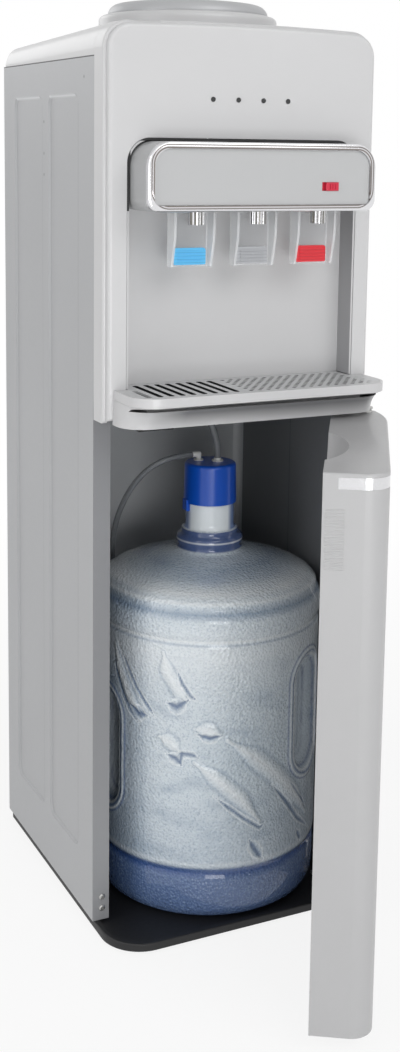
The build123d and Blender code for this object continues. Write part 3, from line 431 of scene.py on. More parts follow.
# %% Hose finish
silicone = Finish("silicone", tone(128, 132, 136), Roughness=0.35, Alpha=0.6)
silicone.set(Coat_Weight=0.3, Roughness=silicone.noise(300) * 0.1 + 0.3)
silicone.relief(silicone.noise(900), 0.00003)


# %% Hoses
def smooth_line(name, points):
    """A curve object whose one NURBS spline has these points, in millimetres."""
    curve = bpy.data.curves.new(name, "CURVE")
    curve.dimensions = "3D"
    spline = curve.splines.new("NURBS")
    spline.points.add(len(points) - 1)
    for knot, point in zip(spline.points, points):
        knot.co = (*(part * mm for part in point), 1.0)
    spline.order_u = 3
    spline.use_endpoint_u = True
    spline.resolution_u = 8
    line = bpy.data.objects.new(name, curve)
    bpy.context.scene.collection.objects.link(line)
    return line


for hose_name, (hose_r, hose_length, hose_points) in hose_routes.items():
    hose = smooth_line(hose_name + "_tube", hose_points)
    hose.data.bevel_depth = hose_r * mm
    hose.data.bevel_resolution = 5
    hose.data.use_fill_caps = True
    hose.data.materials.append(silicone.material)
    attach(hose, "cabinet")
    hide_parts(hose_name)
    print(hose_name, len(hose_points), "points")

# %% [markdown]
# ## Finishes of the cabinet
# The shells are moulded in a silver grey plastic with a soft sheen. Each tone drifts a little
# over a hand's width, its gloss is broken by fine noise, and a very shallow relief gives the
# surface its moulded feel.


# %% Plastic and paint
def moulded(name, colour, gloss, grain=700, depth=0.00003, drift=0.03, **sockets):
    """Moulded plastic or sprayed paint with slight drift, broken gloss and a fine grain."""
    finish = Finish(name, colour, **sockets)
    wander = finish.noise(9, 3)
    finish.set(
        Base_Color=finish.tint(wander, shade(colour, 1 - drift), shade(colour, 1 + drift)),
        Roughness=finish.noise(240, 3) * 0.12 + (gloss - 0.06),
    )
    finish.relief(finish.noise(grain, 3), depth)
    return finish


shell_silver = moulded("shell_silver", tone(209, 209, 210), 0.36, Coat_Weight=0.2)
panel_grey = moulded("panel_grey", tone(178, 179, 181), 0.42, 420, 0.00005, Metallic=0.15)
back_grey = moulded("back_grey", tone(176, 177, 179), 0.45, 420, 0.00005, Metallic=0.15)
niche_silver = moulded("niche_silver", tone(204, 204, 205), 0.4)
housing_silver = moulded("housing_silver", tone(178, 179, 180), 0.33, Coat_Weight=0.25)
face_silver = moulded("face_silver", tone(190, 191, 192), 0.36, 500, 0.00001)
grille_silver = moulded("grille_silver", tone(198, 199, 200), 0.36, 500, 0.00001)
tray_silver = moulded("tray_silver", tone(206, 206, 207), 0.36, Coat_Weight=0.2)
skirt_silver = moulded("skirt_silver", tone(206, 206, 207), 0.36, Coat_Weight=0.2)
base_black = moulded("base_black", tone(19, 19, 21), 0.55, 500, 0.0001)
bay_grey = moulded("bay_grey", tone(84, 87, 90), 0.55, 420, 0.00003)
shelf_grey = moulded("shelf_grey", tone(120, 123, 125), 0.5, 420, 0.00003)
door_inner = moulded("door_inner", tone(190, 191, 192), 0.45)
door_silver = moulded("door_silver", tone(180, 180, 181), 0.38, Coat_Weight=0.15)
lid_satin = moulded("lid_satin", tone(180, 181, 183), 0.42, 300, 0.00001, Metallic=0.25)
fitting_white = moulded("fitting_white", tone(225, 225, 222), 0.4)
cap_blue = moulded("cap_blue", tone(6, 80, 190), 0.32, 300, 0.00003, Coat_Weight=0.25)
grommet_black = moulded("grommet_black", tone(30, 30, 30), 0.7)
board_green = moulded("board_green", tone(30, 110, 60), 0.4)
foam_white = moulded("foam_white", tone(232, 231, 224), 0.85, 260, 0.0006)
enamel_black = moulded("enamel_black", tone(24, 24, 25), 0.3, 300, 0.00008, Coat_Weight=0.4)
print("plastics and paints ready")

# %% [markdown]
# ## Marks that belong to one place
# Some finishes change at a known spot. The left side panel has four small plugs. Both panels have
# a thin seam at the top, painted as a dark line of shade, and each pressed field has painted shade
# by its front wall and a painted highlight on its top wall. The niche has painted shade in the gap
# round the tap bar and on its right wall, the tray and the grille's holes have painted shade
# inside, the skirt under the tray has a painted shade, and the bay's right and back walls are
# painted lighter, with a seam and a painted highlight at their corner. Each is a mask worked out
# from the point's own place, so it stays put in every view.


# %% Marks
def mark(finish, mask, colour, depth=0.0):
    """Lay another colour over a finish where the mask is 1, and sink it a little."""
    old = Value(finish.shader.inputs["Base Color"].links[0].from_socket)
    finish.set(Base_Color=finish.tint(mask, old, colour))
    if depth:
        bump = finish.shader.inputs["Normal"].links[0].from_node
        height = Value(bump.inputs["Height"].links[0].from_socket)
        sunk = depth / bump.inputs["Distance"].default_value
        feed(bump.inputs["Height"], height - mask * sunk)


def outline_depth(past_a, past_b, corner):
    """Distance in from a rounded outline, from how far a point is past its straight parts."""
    over_a, over_b = past_a.larger(0.0), past_b.larger(0.0)
    inside = corner - (over_a * over_a + over_b * over_b).root()
    return inside - past_a.larger(past_b).smaller(0.0)


print("mark helpers ready")

# %% Marks on the side panels
x, y, z = panel_grey.place()
outside = 0.15
outer_face = abs(x) > outside
plug_r, plug_edge = 1.9 * mm, 0.4 * mm
plug_spots = [(150, 868), (150, 834), (150, 811), (28, 912)]
plugs = 0.0
for plug_y, plug_z in plug_spots:
    away_y, away_z = y - plug_y * mm, z - plug_z * mm
    away = (away_y * away_y + away_z * away_z).root()
    plugs = plugs + ((plug_r - away) / plug_edge).clipped()
mark(panel_grey, plugs * (x < -outside), tone(138, 139, 141), 0.00006)

# The front flange gets a painted shade below the front panel's leg, where the bay's opening
# starts.
leg_foot, leg_fade = 0.6, 0.03
front_flange = (y < 1.2 * mm) * (abs(x) > 130 * mm)
painted_leg_shade = ((leg_foot - z) / leg_fade).clipped() * (z * 0.6 + 0.65)
mark(panel_grey, front_flange * painted_leg_shade, tone(138, 139, 142))

# Each pressed field has a painted shade line by its front wall and a painted highlight on its top
# wall.
field_low, field_top = 75 * mm, 896 * mm
front_wall_half, top_wall_half, wall_share = 3.2 * mm, 2.2 * mm, 0.8
first_wall, second_wall = (y.near(wall_y * mm, front_wall_half) for wall_y in (48.6, 159.6))
front_wall_shade = first_wall.larger(second_wall)
front_wall_shade = front_wall_shade * (z > field_low + 3 * mm) * (z < field_top - 6 * mm) * outer_face
mark(panel_grey, (front_wall_shade * wall_share).clipped(), tone(128, 129, 132))
in_fields = ((y > 56 * mm) * (y < 132 * mm)).larger((y > 167 * mm) * (y < 245 * mm))
top_wall_highlight = z.near(field_top - 1.6 * mm, top_wall_half) * in_fields * outer_face
mark(panel_grey, (top_wall_highlight * wall_share).clipped(), tone(232, 233, 235))

# The seam under the top cover is real; its dark line along the panel's top is painted shade.
seam_h = 1.1 * mm
panel_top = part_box("side_panel_left")[1].z
mark(panel_grey, (z > panel_top - seam_h) * outer_face, tone(74, 75, 78))
print("plugs, field walls and top seam marked, panel top", round(panel_top, 4), "m")

# %% Marks on the niche
bar_side, bar_low, bar_high = 0.1287, 0.7795, 0.8487
gap_back = -0.008
wall_side, wall_front, wall_back = 0.1296, -0.0315, -0.0055
x, y, z = niche_silver.place()
# Painted shade: the liner is near black in the narrow gap beside and above the tap bar.
beside_bar = (abs(x) > bar_side) * (z > bar_low)
over_bar = z > bar_high
mark(niche_silver, beside_bar.larger(over_bar) * (y < gap_back), tone(34, 34, 36))
# Painted shade: the niche's right wall below the tap bar is painted darker.
right_wall_shade = (x > wall_side) * (y < wall_back) * (y > wall_front) * (z < bar_low)
mark(niche_silver, right_wall_shade, tone(158, 158, 160))
print("gap round the tap bar marked")


# %% Marks on the tray, its grille and its skirt
def tray_rim_gap(x, y):
    """Distance in from the tray's rounded front outline."""
    tray_half, tray_front, tray_corner = 146 * mm, -95 * mm, 28 * mm
    past_x, past_y = abs(x) - (tray_half - tray_corner), tray_front + tray_corner - y
    return outline_depth(past_x, past_y, tray_corner)


pocket_low, pocket_high, rim_w = 0.591, 0.5975, 0.0034
basin_high, basin_half, basin_front, basin_back = 0.5925, 0.123, -0.065, -0.013
x, y, z = tray_silver.place()
# Painted shade: the pocket under the grille and the basin are painted near black inside.
shaded_pocket = (z > pocket_low) * (z < pocket_high) * (tray_rim_gap(x, y) > rim_w)
shaded_basin = (z < basin_high) * (abs(x) < basin_half) * (y > basin_front) * (y < basin_back)
mark(tray_silver, shaded_pocket.larger(shaded_basin), tone(30, 30, 32))

grille_low, grille_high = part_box("drip_grille")
skin, holes_in, holes_half = 0.00006, 0.006, 0.124
x, y, z = grille_silver.place()
# Painted shade: the walls of the grille's holes are painted near black.
shaded_holes = (z < grille_high.z - skin) * (z > grille_low.z + skin)
shaded_holes = shaded_holes * (tray_rim_gap(x, y) > holes_in) * (abs(x) < holes_half)
mark(grille_silver, shaded_holes, tone(18, 18, 20))

# The skirt's shade grows upwards to the tray's rim, and starts a little in from the left end.
shade_low, shade_rise = 0.564, 0.016
shade_left, shade_run = -0.125, 0.04
skirt_front = -0.034
x, y, z = skirt_silver.place()
upwards = ((z - shade_low) / shade_rise).clipped()
under_rim = upwards * ((x - shade_left) / shade_run).clipped()
mark(skirt_silver, under_rim * (y < skirt_front), tone(128, 128, 130))
print("dark inside of the tray and the grille marked")

# %% Marks on the bay
side_wall, back_wall = 0.1395, 0.2475
corner_x, corner_y = 0.133, 0.236
seam_y, seam_half = 0.1145, 0.0012
x, y, z = bay_grey.place()
seam = y.near(seam_y, seam_half) * (x > 0.1)
corner = (1 - seam) * (x > corner_x) * (y > corner_y)
# Painted light: the right wall and the back wall are painted lighter than the rest of the liner,
# and the rounded corner between them gets a painted highlight.
mark(bay_grey, x > side_wall, tone(126, 128, 131))
mark(bay_grey, y > back_wall, tone(196, 199, 202))
mark(bay_grey, seam, tone(96, 98, 100), 0.00003)
mark(bay_grey, corner, tone(214, 216, 218))
print("bay walls, seam and corner marked")


# %% Metals
def metal(name, colour, gloss, grain=(1.0, 1.0, 1.0), depth=0.00001):
    """Bare or plated metal, brushed along the axis whose grain is drawn out."""
    finish = Finish(name, colour, Metallic=1.0)
    streaks = finish.noise(600, 4, grain)
    finish.set(
        Base_Color=finish.tint(streaks, shade(colour, 0.94), shade(colour, 1.04)),
        Roughness=streaks * 0.1 + gloss,
    )
    finish.relief(streaks, depth)
    return finish


chrome_plate = metal("chrome_plate", tone(222, 222, 224), 0.05)
trim_chrome = metal("trim_chrome", tone(226, 226, 228), 0.06)
nozzle_chrome = metal("nozzle_chrome", tone(206, 206, 208), 0.1)
steel_pin = metal("steel_pin", tone(176, 176, 178), 0.3, (1.0, 12.0, 12.0))
steel_tank = metal("steel_tank", tone(182, 182, 184), 0.32, (8.0, 8.0, 1.0))
zinc_plate = metal("zinc_plate", tone(178, 178, 176), 0.34)
flute_pitch = 0.0031
x, y, z = nozzle_chrome.place()
flutes = x.maths("SINE", x * (2 * pi / flute_pitch))
mark(nozzle_chrome, (flutes * 2).clipped(), tone(104, 102, 98), 0.0001)
print("metals ready")

# %% Trim ring
# The tap bar's bright ring is two beads with a fine groove between them. A brownish painted
# reflection darkens the groove and a band just inside it. The distance in from the ring's outline
# tells which bead a point is on.
bar_half_w, bar_half_h, bar_middle, bar_corner = 128.6 * mm, 34.3 * mm, 814.3 * mm, 22 * mm
x, y, z = trim_chrome.place()
past_x = abs(x) - (bar_half_w - bar_corner)
past_z = abs(z - bar_middle) - (bar_half_h - bar_corner)
outline_gap = outline_depth(past_x, past_z, bar_corner)
on_front = y < -0.0745
mark(trim_chrome, outline_gap.near(3.4 * mm, 1.1 * mm) * on_front, tone(92, 80, 74), 0.0002)
mark(trim_chrome, outline_gap.near(5.9 * mm, 1.3 * mm) * on_front, tone(104, 90, 82))
print("trim ring has its groove")

# %% Clear and coloured pieces
tap_pitch = 70 * mm
arm_in, arm_edge = 19.8 * mm, 0.25 * mm
lever_low, lever_high, rim_half = 724.6 * mm, 777.6 * mm, 1.2 * mm


def clear_lever(name, middle):
    """Clear moulded plastic: the two side arms and the rims get a painted highlight and are less
    clear than the plate.
    """
    finish = Finish(name, tone(232, 235, 238), Coat_Weight=0.5)
    x, y, z = finish.place()
    arms = (abs(x - middle) - arm_in) / arm_edge
    rims = z.near(lever_low, rim_half).larger(z.near(lever_high, rim_half))
    edge = arms.clipped().larger(rims)
    finish.set(
        Base_Color=finish.tint(edge, tone(200, 203, 207), tone(244, 246, 248)),
        Roughness=finish.noise(120) * 0.06 + 0.05,
        Alpha=edge * 0.3 + 0.17,
    )
    finish.relief(finish.noise(90), 0.00004)
    return finish


lever_clear = [clear_lever("lever_clear_" + str(i), (i - 1) * tap_pitch) for i in range(3)]
lens_dark = moulded("lens_dark", tone(26, 28, 30), 0.12, Coat_Weight=0.6)
pad_blue = moulded("pad_blue", tone(92, 190, 240), 0.3, Coat_Weight=0.3)
pad_red = moulded("pad_red", tone(222, 36, 50), 0.3, Coat_Weight=0.3)
pad_clear = moulded("pad_clear", tone(176, 178, 182), 0.25, Coat_Weight=0.4)
slider_red = moulded("slider_red", tone(206, 30, 62), 0.3, Coat_Weight=0.3)
switch_red = moulded("switch_red", tone(190, 24, 26), 0.22, Coat_Weight=0.5)
switch_green = moulded("switch_green", tone(38, 120, 56), 0.22, Coat_Weight=0.5)
print("clear and coloured plastics ready")

# %% Grooves of the pads
# The finger pads are ribbed, and the bottom of each groove between two ribs gets a little painted
# shade.
pad_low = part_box("pad_cold")[0]
groove_low, groove_pitch, groove_half = pad_low.z + 2.1 * mm, 3.4 * mm, 0.5 * mm
for pad in (pad_blue, pad_clear, pad_red):
    x, y, z = pad.place()
    grooves = z.near(groove_low, groove_half)
    for row in range(1, 4):
        grooves = grooves.larger(z.near(groove_low + groove_pitch * row, groove_half))
    old = Value(pad.shader.inputs["Base Color"].links[0].from_socket)
    darker = pad.tint(0.3, old, (0.02, 0.03, 0.05))
    mark(pad, grooves * (y < pad_low.y + 3 * mm), darker)
print("four grooves on each pad")

# %% Which piece has which finish
finish_of = {
    shell_silver: "front_panel top_cover lid_collar",
    skirt_silver: "tray_housing",
    door_silver: "door_shell",
    tray_silver: "drip_tray",
    panel_grey: "side_panel_left side_panel_right",
    back_grey: "back_panel",
    niche_silver: "niche_liner",
    housing_silver: "tap_housing",
    face_silver: "tap_face_plate",
    grille_silver: "drip_grille",
    base_black: "base switch_bezel cable_gland magnet_catch",
    bay_grey: "bay_liner",
    shelf_grey: "bay_shelf",
    door_inner: "door_frame",
    lid_satin: "lid",
    fitting_white: "hose_fittings dip_tube drain_spout drain_cap hinge_bushes tap_bodies pump",
    cap_blue: "bottle_cap",
    grommet_black: "compressor_mounts",
    board_green: "control_board",
    foam_white: "cold_insulation",
    enamel_black: "compressor",
    chrome_plate: "door_trim",
    nozzle_chrome: "nozzles",
    trim_chrome: "tap_trim",
    steel_pin: "lever_pins heater_band",
    steel_tank: "cold_tank hot_tank tank_stand",
    zinc_plate: "hinge_lower hinge_upper panel_screws",
    lever_clear[0]: "lever_cold",
    lever_clear[1]: "lever_room",
    lever_clear[2]: "lever_hot",
    lens_dark: "indicator_lenses",
    pad_blue: "pad_cold",
    pad_clear: "pad_room",
    pad_red: "pad_hot",
    slider_red: "child_lock",
    switch_red: "rocker_heat",
    switch_green: "rocker_cool",
    silicone: "inner_hoses",
}
for finish, names in finish_of.items():
    for name in names.split():
        nodes[name].data.materials.clear()
        nodes[name].data.materials.append(finish.material)
print(sum(len(names.split()) for names in finish_of.values()), "pieces have a finish")

# %% [markdown]
# ## Condenser
# The black grid on the back sheds the heat of the cooling circuit. A thin pipe runs to and fro
# across the back, and fine upright wires are welded to both of its sides. The straight passes
# and the half-round bends each stand on a row of points one pitch apart, and the wires on two
# more rows, in front of the pipe and behind it.

# %% Condenser sizes
coil_low, coil_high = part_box("condenser")
pipe_r, wire_r = 2.5 * mm, 0.9 * mm
pass_y = 303 * mm
pass_low, pass_pitch, passes = 250 * mm, 50 * mm, 9
bend_r, bends_a_side = pass_pitch / 2, (passes - 1) // 2
pass_half = 125 * mm - bend_r
wires, wire_half = 36, 117 * mm
wire_low, wire_length = coil_low.z, coil_high.z - coil_low.z
lug_x, lug_y, lug_size = 95 * mm, 296.9 * mm, (10 * mm, 12.2 * mm, 3 * mm)
print("condenser", passes, "passes and", 2 * wires, "wires")

# %% Condenser
grid = Pattern("condenser_grid", enamel_black)
half_pass = grid.size("Half pass", pass_half)
pitch = grid.size("Pitch", pass_pitch)
pipe = grid.size("Pipe radius", pipe_r)
across = grid.tube(grid.straight(grid.point(half_pass * -1), grid.point(half_pass)), pipe, 12)
pass_rows = grid.row(
    across, grid.count("Passes", passes), (0.0, pass_y, pass_low), grid.point(z=pitch)
)
arc = grid.node(
    "GeometryNodeCurveArc", Resolution=12, Radius=pitch * 0.5, Start_Angle=-pi / 2, Sweep_Angle=pi
)
upright = grid.node("GeometryNodeTransform", Geometry=arc, Rotation=(pi / 2, 0.0, 0.0))
bend = grid.tube(upright, pipe, 12)
right_bends = grid.row(
    bend,
    bends_a_side,
    grid.point(half_pass, pass_y, pass_low + bend_r),
    grid.point(z=pitch * 2),
)
left_bends = grid.row(
    bend,
    bends_a_side,
    grid.point(half_pass * -1, pass_y, pass_low + bend_r + pass_pitch),
    grid.point(z=pitch * 2),
    (0.0, 0.0, pi),
)
tail = grid.tube(grid.straight((0.0, 0.0, 0.0), (bend_r, 0.0, 0.0)), pipe, 12)
tails = grid.row(
    tail,
    2,
    (-pass_half - bend_r, pass_y, pass_low),
    (2 * pass_half + bend_r, 0.0, (passes - 1) * pass_pitch),
)
wire = grid.tube(
    grid.straight((0.0, 0.0, wire_low), (0.0, 0.0, wire_low + wire_length)),
    grid.size("Wire radius", wire_r),
    6,
)
wire_rows = [
    grid.row(
        wire,
        grid.count(f"Wires {side}", wires),
        (-wire_half, pass_y + sign * (pipe_r + wire_r), 0.0),
        (2 * wire_half / (wires - 1), 0.0, 0.0),
    )
    for side, sign in (("behind", 1), ("before", -1))
]
lug = grid.node("GeometryNodeMeshCube", Size=lug_size)
lug_rows = [
    grid.row(lug, 2, (-lug_x, lug_y, lug_z), (2 * lug_x, 0.0, 0.0))
    for lug_z in (pass_low, pass_low + (passes - 1) * pass_pitch)
]
condenser_grid = grid.made(pass_rows, right_bends, left_bends, tails, *wire_rows, *lug_rows)
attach(condenser_grid, "cabinet")
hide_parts("condenser")

# %% [markdown]
# ## Lever springs
# A small coil on each lever's pin pushes the lever back. One spiral is swept with a thin wire,
# turned to lie along the pin, and placed at the three taps.

# %% Lever springs
springs = Pattern("return_springs", steel_pin)
coil = springs.node(
    "GeometryNodeCurveSpiral",
    Resolution=16,
    Rotations=springs.size("Turns", 3.5),
    Start_Radius=springs.size("Inner radius", 3.5 * mm),
    End_Radius=springs.size("Outer radius", 3.5 * mm),
    Height=springs.size("Length", 1.9 * mm),
)
along_pin = springs.node("GeometryNodeTransform", Geometry=coil, Rotation=(0.0, pi / 2, 0.0))
spring_wire = springs.tube(along_pin, springs.size("Wire radius", 0.3 * mm), 6)
pin_y, pin_z, spring_side = -50 * mm, 790 * mm, 17.7 * mm
spring_row = springs.row(
    spring_wire, 3, (spring_side - tap_pitch, pin_y, pin_z), (tap_pitch, 0.0, 0.0)
)
return_springs = springs.made(spring_row)
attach(return_springs, "cabinet")
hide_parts("lever_springs")

# %% [markdown]
# ## Rolled rims of the air slots
# The punch that cuts an air slot also rolls its edge outwards. Each rim is a slot-shaped path
# swept with a small round wire, set on rows and columns at the cabinet's back.

# %% Slot rims
rims = Pattern("slot_rims", back_grey)
slot_long, slot_high = rims.size("Slot length", 66 * mm), rims.size("Slot height", 5 * mm)
outline_flat = rims.node(
    "GeometryNodeCurvePrimitiveQuadrilateral", Width=slot_long, Height=slot_high
)
outline_round = rims.node(
    "GeometryNodeFilletCurve",
    {"mode": "POLY"},
    Curve=outline_flat,
    Count=4,
    Radius=slot_high * 0.499,
)
outline_up = rims.node(
    "GeometryNodeTransform", Geometry=outline_round, Rotation=(pi / 2, 0.0, 0.0)
)
rim_form = rims.tube(outline_up, rims.size("Rim radius", 0.6 * mm), 6)
rim_y, slot_pitch = 290.8 * mm, 14 * mm
slot_columns = [
    # middle, lowest row, rows
    (-10, 770, 7),
    (80, 770, 7),
    (-70, 40, 4),
    (40, 40, 4),
]
rim_rows = [
    rims.row(rim_form, number, (middle * mm, rim_y, low * mm), (0.0, 0.0, slot_pitch))
    for middle, low, number in slot_columns
]
slot_rims = rims.made(*rim_rows)
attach(slot_rims, "cabinet")

# %% [markdown]
# ## The bottle
# The bottle is blown from clear blue plastic. Its wall is a lathe form with two grips pressed
# into the sides and long leaf-shaped ribs that run down across the front. A grid wrapped round
# the axis can hold all of these: each point starts on the lathe outline and then moves in or
# out by the depth of the grip or rib at its angle and height. The mesh also keeps how far each
# point is from the nearest grip, rib and crease, so that the finish can follow them.

# %% Bottle outline
bottle_axis = Vector((12 * mm, 67 * mm, 8 * mm))
body_r = 125.8
most_r = 128.0
outline = [(0, 7), (60, 4), (96, 1), (107, 0), (116, 1.5), (121.5, 6), (124.2, 14), (124.8, 28)]
outline += [(124.8, 46), (124.2, 50), (122.4, 53), (122.4, 56), (124.8, 60), (body_r, 64)]
outline += [(body_r, z) for z in range(66, 309, 2)]
outline += [(body_r, 310), (124.6, 313), (124.2, 316), (125.4, 319), (126.6, 322)]
outline += [(126.9, z) for z in range(326, 340, 4)]
outline += [(125.6, 343), (123.4, 347), (122.6, 350), (121.8, 354), (118, 359), (112, 363)]
outline += [(104, 366.5), (94, 370), (82, 374), (68, 378.5), (54, 382.5), (44, 385), (38, 386.5)]
outline += [(37, 389), (36.2, 392), (37.6, 395), (37.8, 400), (36.4, 403), (32, 405)]
outline += [(32.6, 407.5), (31.5, 410), (28, 412), (27.5, 416), (27.5, 440)]
outline += [(27.5, 472), (24, 472), (24, 440)]
print(len(outline), "points up the outline")

# %% Grips, ribs and creases
# Each rib or crease is a line of points on the wall: an angle in degrees and a height. A rib
# stands a little proud along its line, and a crease is a narrow sunken line beside a rib's end.
grips = [(radians(182.0), 135.0), (radians(-54.0), 176.0)]
grip_r, grip_out, grip_h = 34.0, 146.0, 78.0
line_far, grip_far = 3.0, 99.0  # where a rib, a crease or a grip no longer counts
ribs = [
    # half width, rise, points
    (7.0, 1.5, [(-169, 299), (-165, 272), (-158, 246), (-150, 226)]),
    (8.0, 1.2, [(-138, 303), (-136, 282), (-130, 262), (-126, 252)]),
    (8.0, 1.8, [(-140, 208), (-134, 204), (-129, 194)]),
    (9.0, 1.8, [(-122, 183), (-110, 163), (-99, 141), (-88, 110)]),
    (8.0, 1.6, [(-122, 221), (-115, 220), (-109, 215)]),
    (10.5, 1.8, [(-106, 208), (-93, 188), (-79, 160), (-64, 124), (-54, 96)]),
]
creases = [
    # half width, depth, points
    (1.9, 1.0, [(-171, 292), (-168, 267), (-163, 245), (-157, 227), (-151, 214)]),
    (1.8, 1.0, [(-167, 301), (-160, 279), (-153, 255), (-145.5, 236), (-142, 227)]),
    (4.2, 2.0, [(-157, 235), (-152, 228), (-147, 227)]),
    (1.7, 1.0, [(-131.3, 287), (-128.3, 270), (-124, 257), (-120, 250.5)]),
    (4.0, 1.8, [(-136, 247), (-131, 243), (-125.5, 252)]),
    (3.2, 1.6, [(-136, 189), (-131, 185), (-128, 178.5)]),
    (2.2, 1.2, [(-128.5, 178), (-128.3, 191.5), (-123, 191), (-119.5, 187.5)]),
    (1.8, 1.2, [(-112.7, 145.5), (-106, 133.5), (-97, 117), (-88, 102.5), (-84.5, 107.5)]),
    (3.0, 1.4, [(-120.5, 214.5), (-114.5, 210.5), (-108.5, 213.5)]),
    (2.0, 1.2, [(-81.5, 150), (-72.7, 126.5), (-61.7, 96), (-47, 70.5)]),
    (1.5, 0.8, [(-71, 149.7), (-62, 124.5), (-52, 101)]),
    (3.6, 1.6, [(-93.5, 90.5), (-90.5, 79), (-86, 64.8)]),
    (2.4, 1.2, [(-62, 82), (-57.5, 66)]),
]


def flat(angle, height):
    """A point of the wall laid out flat, in millimetres."""
    return Vector((radians(angle) * body_r, height))


def segments(lines):
    """Every straight run of the lines, with its share of the whole line at both ends."""
    made = []
    for half_width, amount, points in lines:
        spots = [flat(*point) for point in points]
        count = len(spots) - 1
        for i in range(count):
            start, end, reach = spots[i], spots[i + 1], line_far * half_width
            box = (
                min(start.x, end.x) - reach,
                max(start.x, end.x) + reach,
                min(start.y, end.y) - reach,
                max(start.y, end.y) + reach,
            )
            made.append((box, start, end - start, i, count, half_width, amount))
    return made


rib_runs, crease_runs = segments(ribs), segments(creases)


def line_gap(here, runs):
    """Distance from the nearest line, in half widths, and that line's height or depth."""
    nearest, size = line_far, 0.0
    for box, start, along, i, count, half_width, amount in runs:
        if box[0] < here.x < box[1] and box[2] < here.y < box[3]:
            share = min(1.0, max(0.0, (here - start).dot(along) / along.length_squared))
            t = (i + share) / count
            width = half_width * max(0.25, min(1.0, 3.5 * t, 3.5 * (1 - t)))
            gap = (here - start - along * share).length / width
            if gap < nearest:
                nearest, size = gap, amount
    return nearest, size


def grip_depth(angle, z, r):
    """How far a grip cuts into the wall at this angle and height."""
    deepest = 0.0
    for grip, low in grips:
        rise = max(low - z, 0.0, z - low - grip_h)
        side = grip_out * cos(angle - grip)
        inside = side * side - grip_out**2 - rise * rise + grip_r**2
        if side > 0 and inside > 0:
            deepest = max(deepest, r - (side - sqrt(inside)))
    return deepest


def grip_away(angle, z):
    """Distance along the wall from the middle line of the nearer grip, in millimetres."""
    nearest = grip_far
    for grip, low in grips:
        rise = max(low - z, 0.0, z - low - grip_h)
        side = (angle - grip + pi) % (2 * pi) - pi
        nearest = min(nearest, sqrt((side * body_r) ** 2 + rise**2))
    return nearest


# %% Bottle wall
turns = 448
pattern_low, pattern_high = 60, 312
lip_rise, lip_gap, lip_width = 1.6, 33.0, 4.0
bottle_mesh = bpy.data.meshes.new("bottle_wall")
wall_points, grip_gaps, rib_gaps, crease_gaps = [], [], [], []
for r, z in outline:
    for step in range(turns):
        angle = -pi + 2 * pi * step / turns
        away, grip_gap, rib_gap, crease_gap = r, grip_far, line_far, line_far
        if pattern_low < z < pattern_high:
            here = flat(degrees(angle), z)
            rib_gap, rib_rise = line_gap(here, rib_runs)
            crease_gap, crease_depth = line_gap(here, crease_runs)
            grip_gap = grip_away(angle, z)
            raised = rib_rise * max(0.0, 1 - rib_gap**3)
            raised = max(raised, lip_rise * exp(-(((grip_gap - lip_gap) / lip_width) ** 2)))
            raised -= crease_depth * max(0.0, 1 - crease_gap)
            cut = grip_depth(angle, z, r)
            away = r - cut if cut > 0 else min(r + raised, most_r)
        wall_points.append(
            bottle_axis + Vector((away * cos(angle), away * sin(angle), z)) * mm
        )
        grip_gaps.append(grip_gap)
        rib_gaps.append(rib_gap)
        crease_gaps.append(crease_gap)
wall_faces = []
for row in range(len(outline) - 1):
    for step in range(turns):
        after = (step + 1) % turns
        low, high = row * turns, (row + 1) * turns
        wall_faces.append((low + step, low + after, high + after, high + step))
bottle_mesh.from_pydata(wall_points, [], wall_faces)
for label, gaps in (("grip", grip_gaps), ("rib", rib_gaps), ("crease", crease_gaps)):
    bottle_mesh.attributes.new(label, "FLOAT", "POINT").data.foreach_set("value", gaps)
work = bmesh.new()
work.from_mesh(bottle_mesh)
bmesh.ops.remove_doubles(work, verts=work.verts, dist=0.00002)
bmesh.ops.recalc_face_normals(work, faces=work.faces)
work.to_mesh(bottle_mesh)
work.free()
for face in bottle_mesh.polygons:
    face.use_smooth = True
bottle_wall = bpy.data.objects.new("bottle_wall", bottle_mesh)
bpy.context.scene.collection.objects.link(bottle_wall)
print("bottle wall", len(bottle_mesh.polygons), "faces")

# %% [markdown]
# ### Blue plastic
# Thick parts of blown plastic are darker and bluer, and thin parts are pale, so the foot and the
# neck ring are tinted blue and the neck is pale. Fine pebbles cover the body. The rest is painted
# light: painted shade darkens the left edge, the lower body, the shoulder's fold, the creases, the
# rib edges and the neck's sides, and painted highlights make the ribs, the shoulder's crest and a
# band high on the body pale. The grips are ringed by painted light and dark lines, painted
# reflections as a curved clear wall shows them, with a pale painted reflection inside.

# %% Bottle finish
bottle_clear = Finish("bottle_clear", tone(190, 204, 214), IOR=1.4, Coat_Weight=0.6)
pale, deep, navy = tone(246, 250, 252), tone(98, 126, 158), tone(42, 76, 138)


def wall_value(label):
    """A number that the bottle's mesh keeps for each of its points."""
    return Value(
        bottle_clear.node("ShaderNodeAttribute", {"attribute_name": label}).outputs["Fac"]
    )


bx, by, bz = bottle_clear.place()
bx, by, bz = bx - bottle_axis.x, by - bottle_axis.y, bz - bottle_axis.z
grip_gap, rib_gap, crease_gap = wall_value("grip"), wall_value("rib"), wall_value("crease")
foot = ((0.062 - bz) / 0.003).clipped()
neck = ((bz - 0.4105) / 0.001).clipped()
neck_ring = ((bz - 0.3875) / 0.002).clipped() * ((0.4105 - bz) / 0.001).clipped()
cloud = bottle_clear.noise(7, 3)
ripple = bottle_clear.noise(16, 3, (1.0, 1.0, 3.0))
flecks = bottle_clear.noise(460, 2)

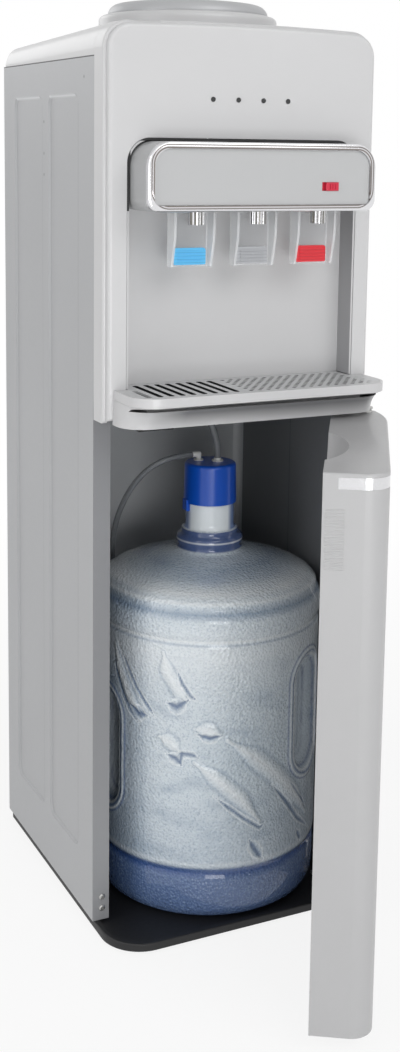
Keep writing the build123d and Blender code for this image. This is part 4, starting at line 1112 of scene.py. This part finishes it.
lines = [
    # mask, colour, strength
    # Painted shade on the left edge, a random mottle, a painted highlight band high on the body
    # and painted shade towards the bottom.
    (((-0.098 - bx) / 0.03).clipped(), deep, 0.5),
    ((ripple - 0.5) * 4 * (bz < 0.3), deep, 0.3),
    (bz.near(0.3, 0.045), pale, 0.45),
    (((0.15 - bz) / 0.12).clipped(), deep, 0.28),
    # The shoulder: painted shade at its fold and under the neck and painted highlights on its
    # crest; at the groove below it, a painted highlight above a painted shade line.
    (bz.near(0.346, 0.008), deep, 0.6),
    (bz.near(0.3785, 0.0105) * (ripple * 1.4), deep, 0.65),
    (bz.near(0.364, 0.0075) * (ripple * 1.6), pale, 0.8),
    (bz.near(0.3565, 0.003), pale, 0.6),
    (bz.near(0.3165, 0.0022), pale, 0.6),
    (bz.near(0.3125, 0.002), deep, 0.4),
    # Painted highlights along the ribs and beside the creases, and painted shade at the rib edges
    # and in the creases.
    ((1 - rib_gap).clipped(), pale, 0.7),
    (rib_gap.near(1.15, 0.35), deep, 0.3),
    ((1.25 - crease_gap).clipped(), tone(58, 92, 136), 0.75),
    (crease_gap.near(1.9, 0.6), pale, 0.6),
    # Round each grip, painted reflections: a faint shade, rings of dark and light lines, a pale
    # inside and a darker mottle towards the middle.
    ((36.5 - grip_gap).clipped(), deep, 0.15),
    (grip_gap.near(37.0, 1.6), navy, 0.6),
    (grip_gap.near(34.2, 1.4), pale, 0.8),
    (grip_gap.near(31.0, 1.7), navy, 0.6),
    (grip_gap.near(27.6, 1.7), pale, 0.85),
    (grip_gap.near(24.0, 1.8), navy, 0.5),
    (((22.0 - grip_gap) / 4).clipped(), tone(222, 232, 240), 0.8),
    (grip_gap.near(13.0, 3.0) * (ripple * 2 - 0.6).clipped(), navy, 0.7),
    (grip_gap.near(5.0, 3.0) * (cloud * 2 - 0.6).clipped(), deep, 0.6),
    # The foot's own darker blue with paler flecks, and at its groove a painted shade line below a
    # painted highlight.
    (foot, tone(68, 96, 146), 0.9),
    (foot * ((flecks - 0.5) * 6).clipped(), tone(150, 174, 206), 0.35),
    (bz.near(0.0545, 0.0055), navy, 0.85),
    (bz.near(0.0655, 0.004), pale, 0.35),
    # The neck is thin and pale, with painted shade along its sides; the neck ring has its own dark
    # blue and a painted highlight.
    (neck, tone(244, 251, 255), 1.0),
    (neck * ((abs(bx * 0.9 - by * 0.44) - 0.0205) / 0.004).clipped(), tone(70, 112, 180), 0.8),
    (neck_ring, tone(34, 66, 126), 0.9),
    (bz.near(0.3985, 0.0016), pale, 0.7),
]
body_tone = bottle_clear.tint(cloud, tone(196, 210, 220), tone(232, 238, 242))
body_tone = bottle_clear.tint(((flecks - 0.5) * 6).clipped() * 0.34, body_tone, deep)
for mask, colour, strength in lines:
    body_tone = bottle_clear.tint((mask * strength).clipped(), body_tone, colour)
stipple = bottle_clear.pebbles(330) * (1 - neck.larger(neck_ring))
bottle_clear.set(
    Base_Color=body_tone,
    Roughness=bottle_clear.noise(60) * 0.1 + 0.14,
    Alpha=0.98 - neck * 0.06,
)
bottle_clear.relief(stipple, 0.0012, 0.9)
bottle_mesh.materials.append(bottle_clear.material)
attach(bottle_wall, "cabinet")
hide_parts("bottle")
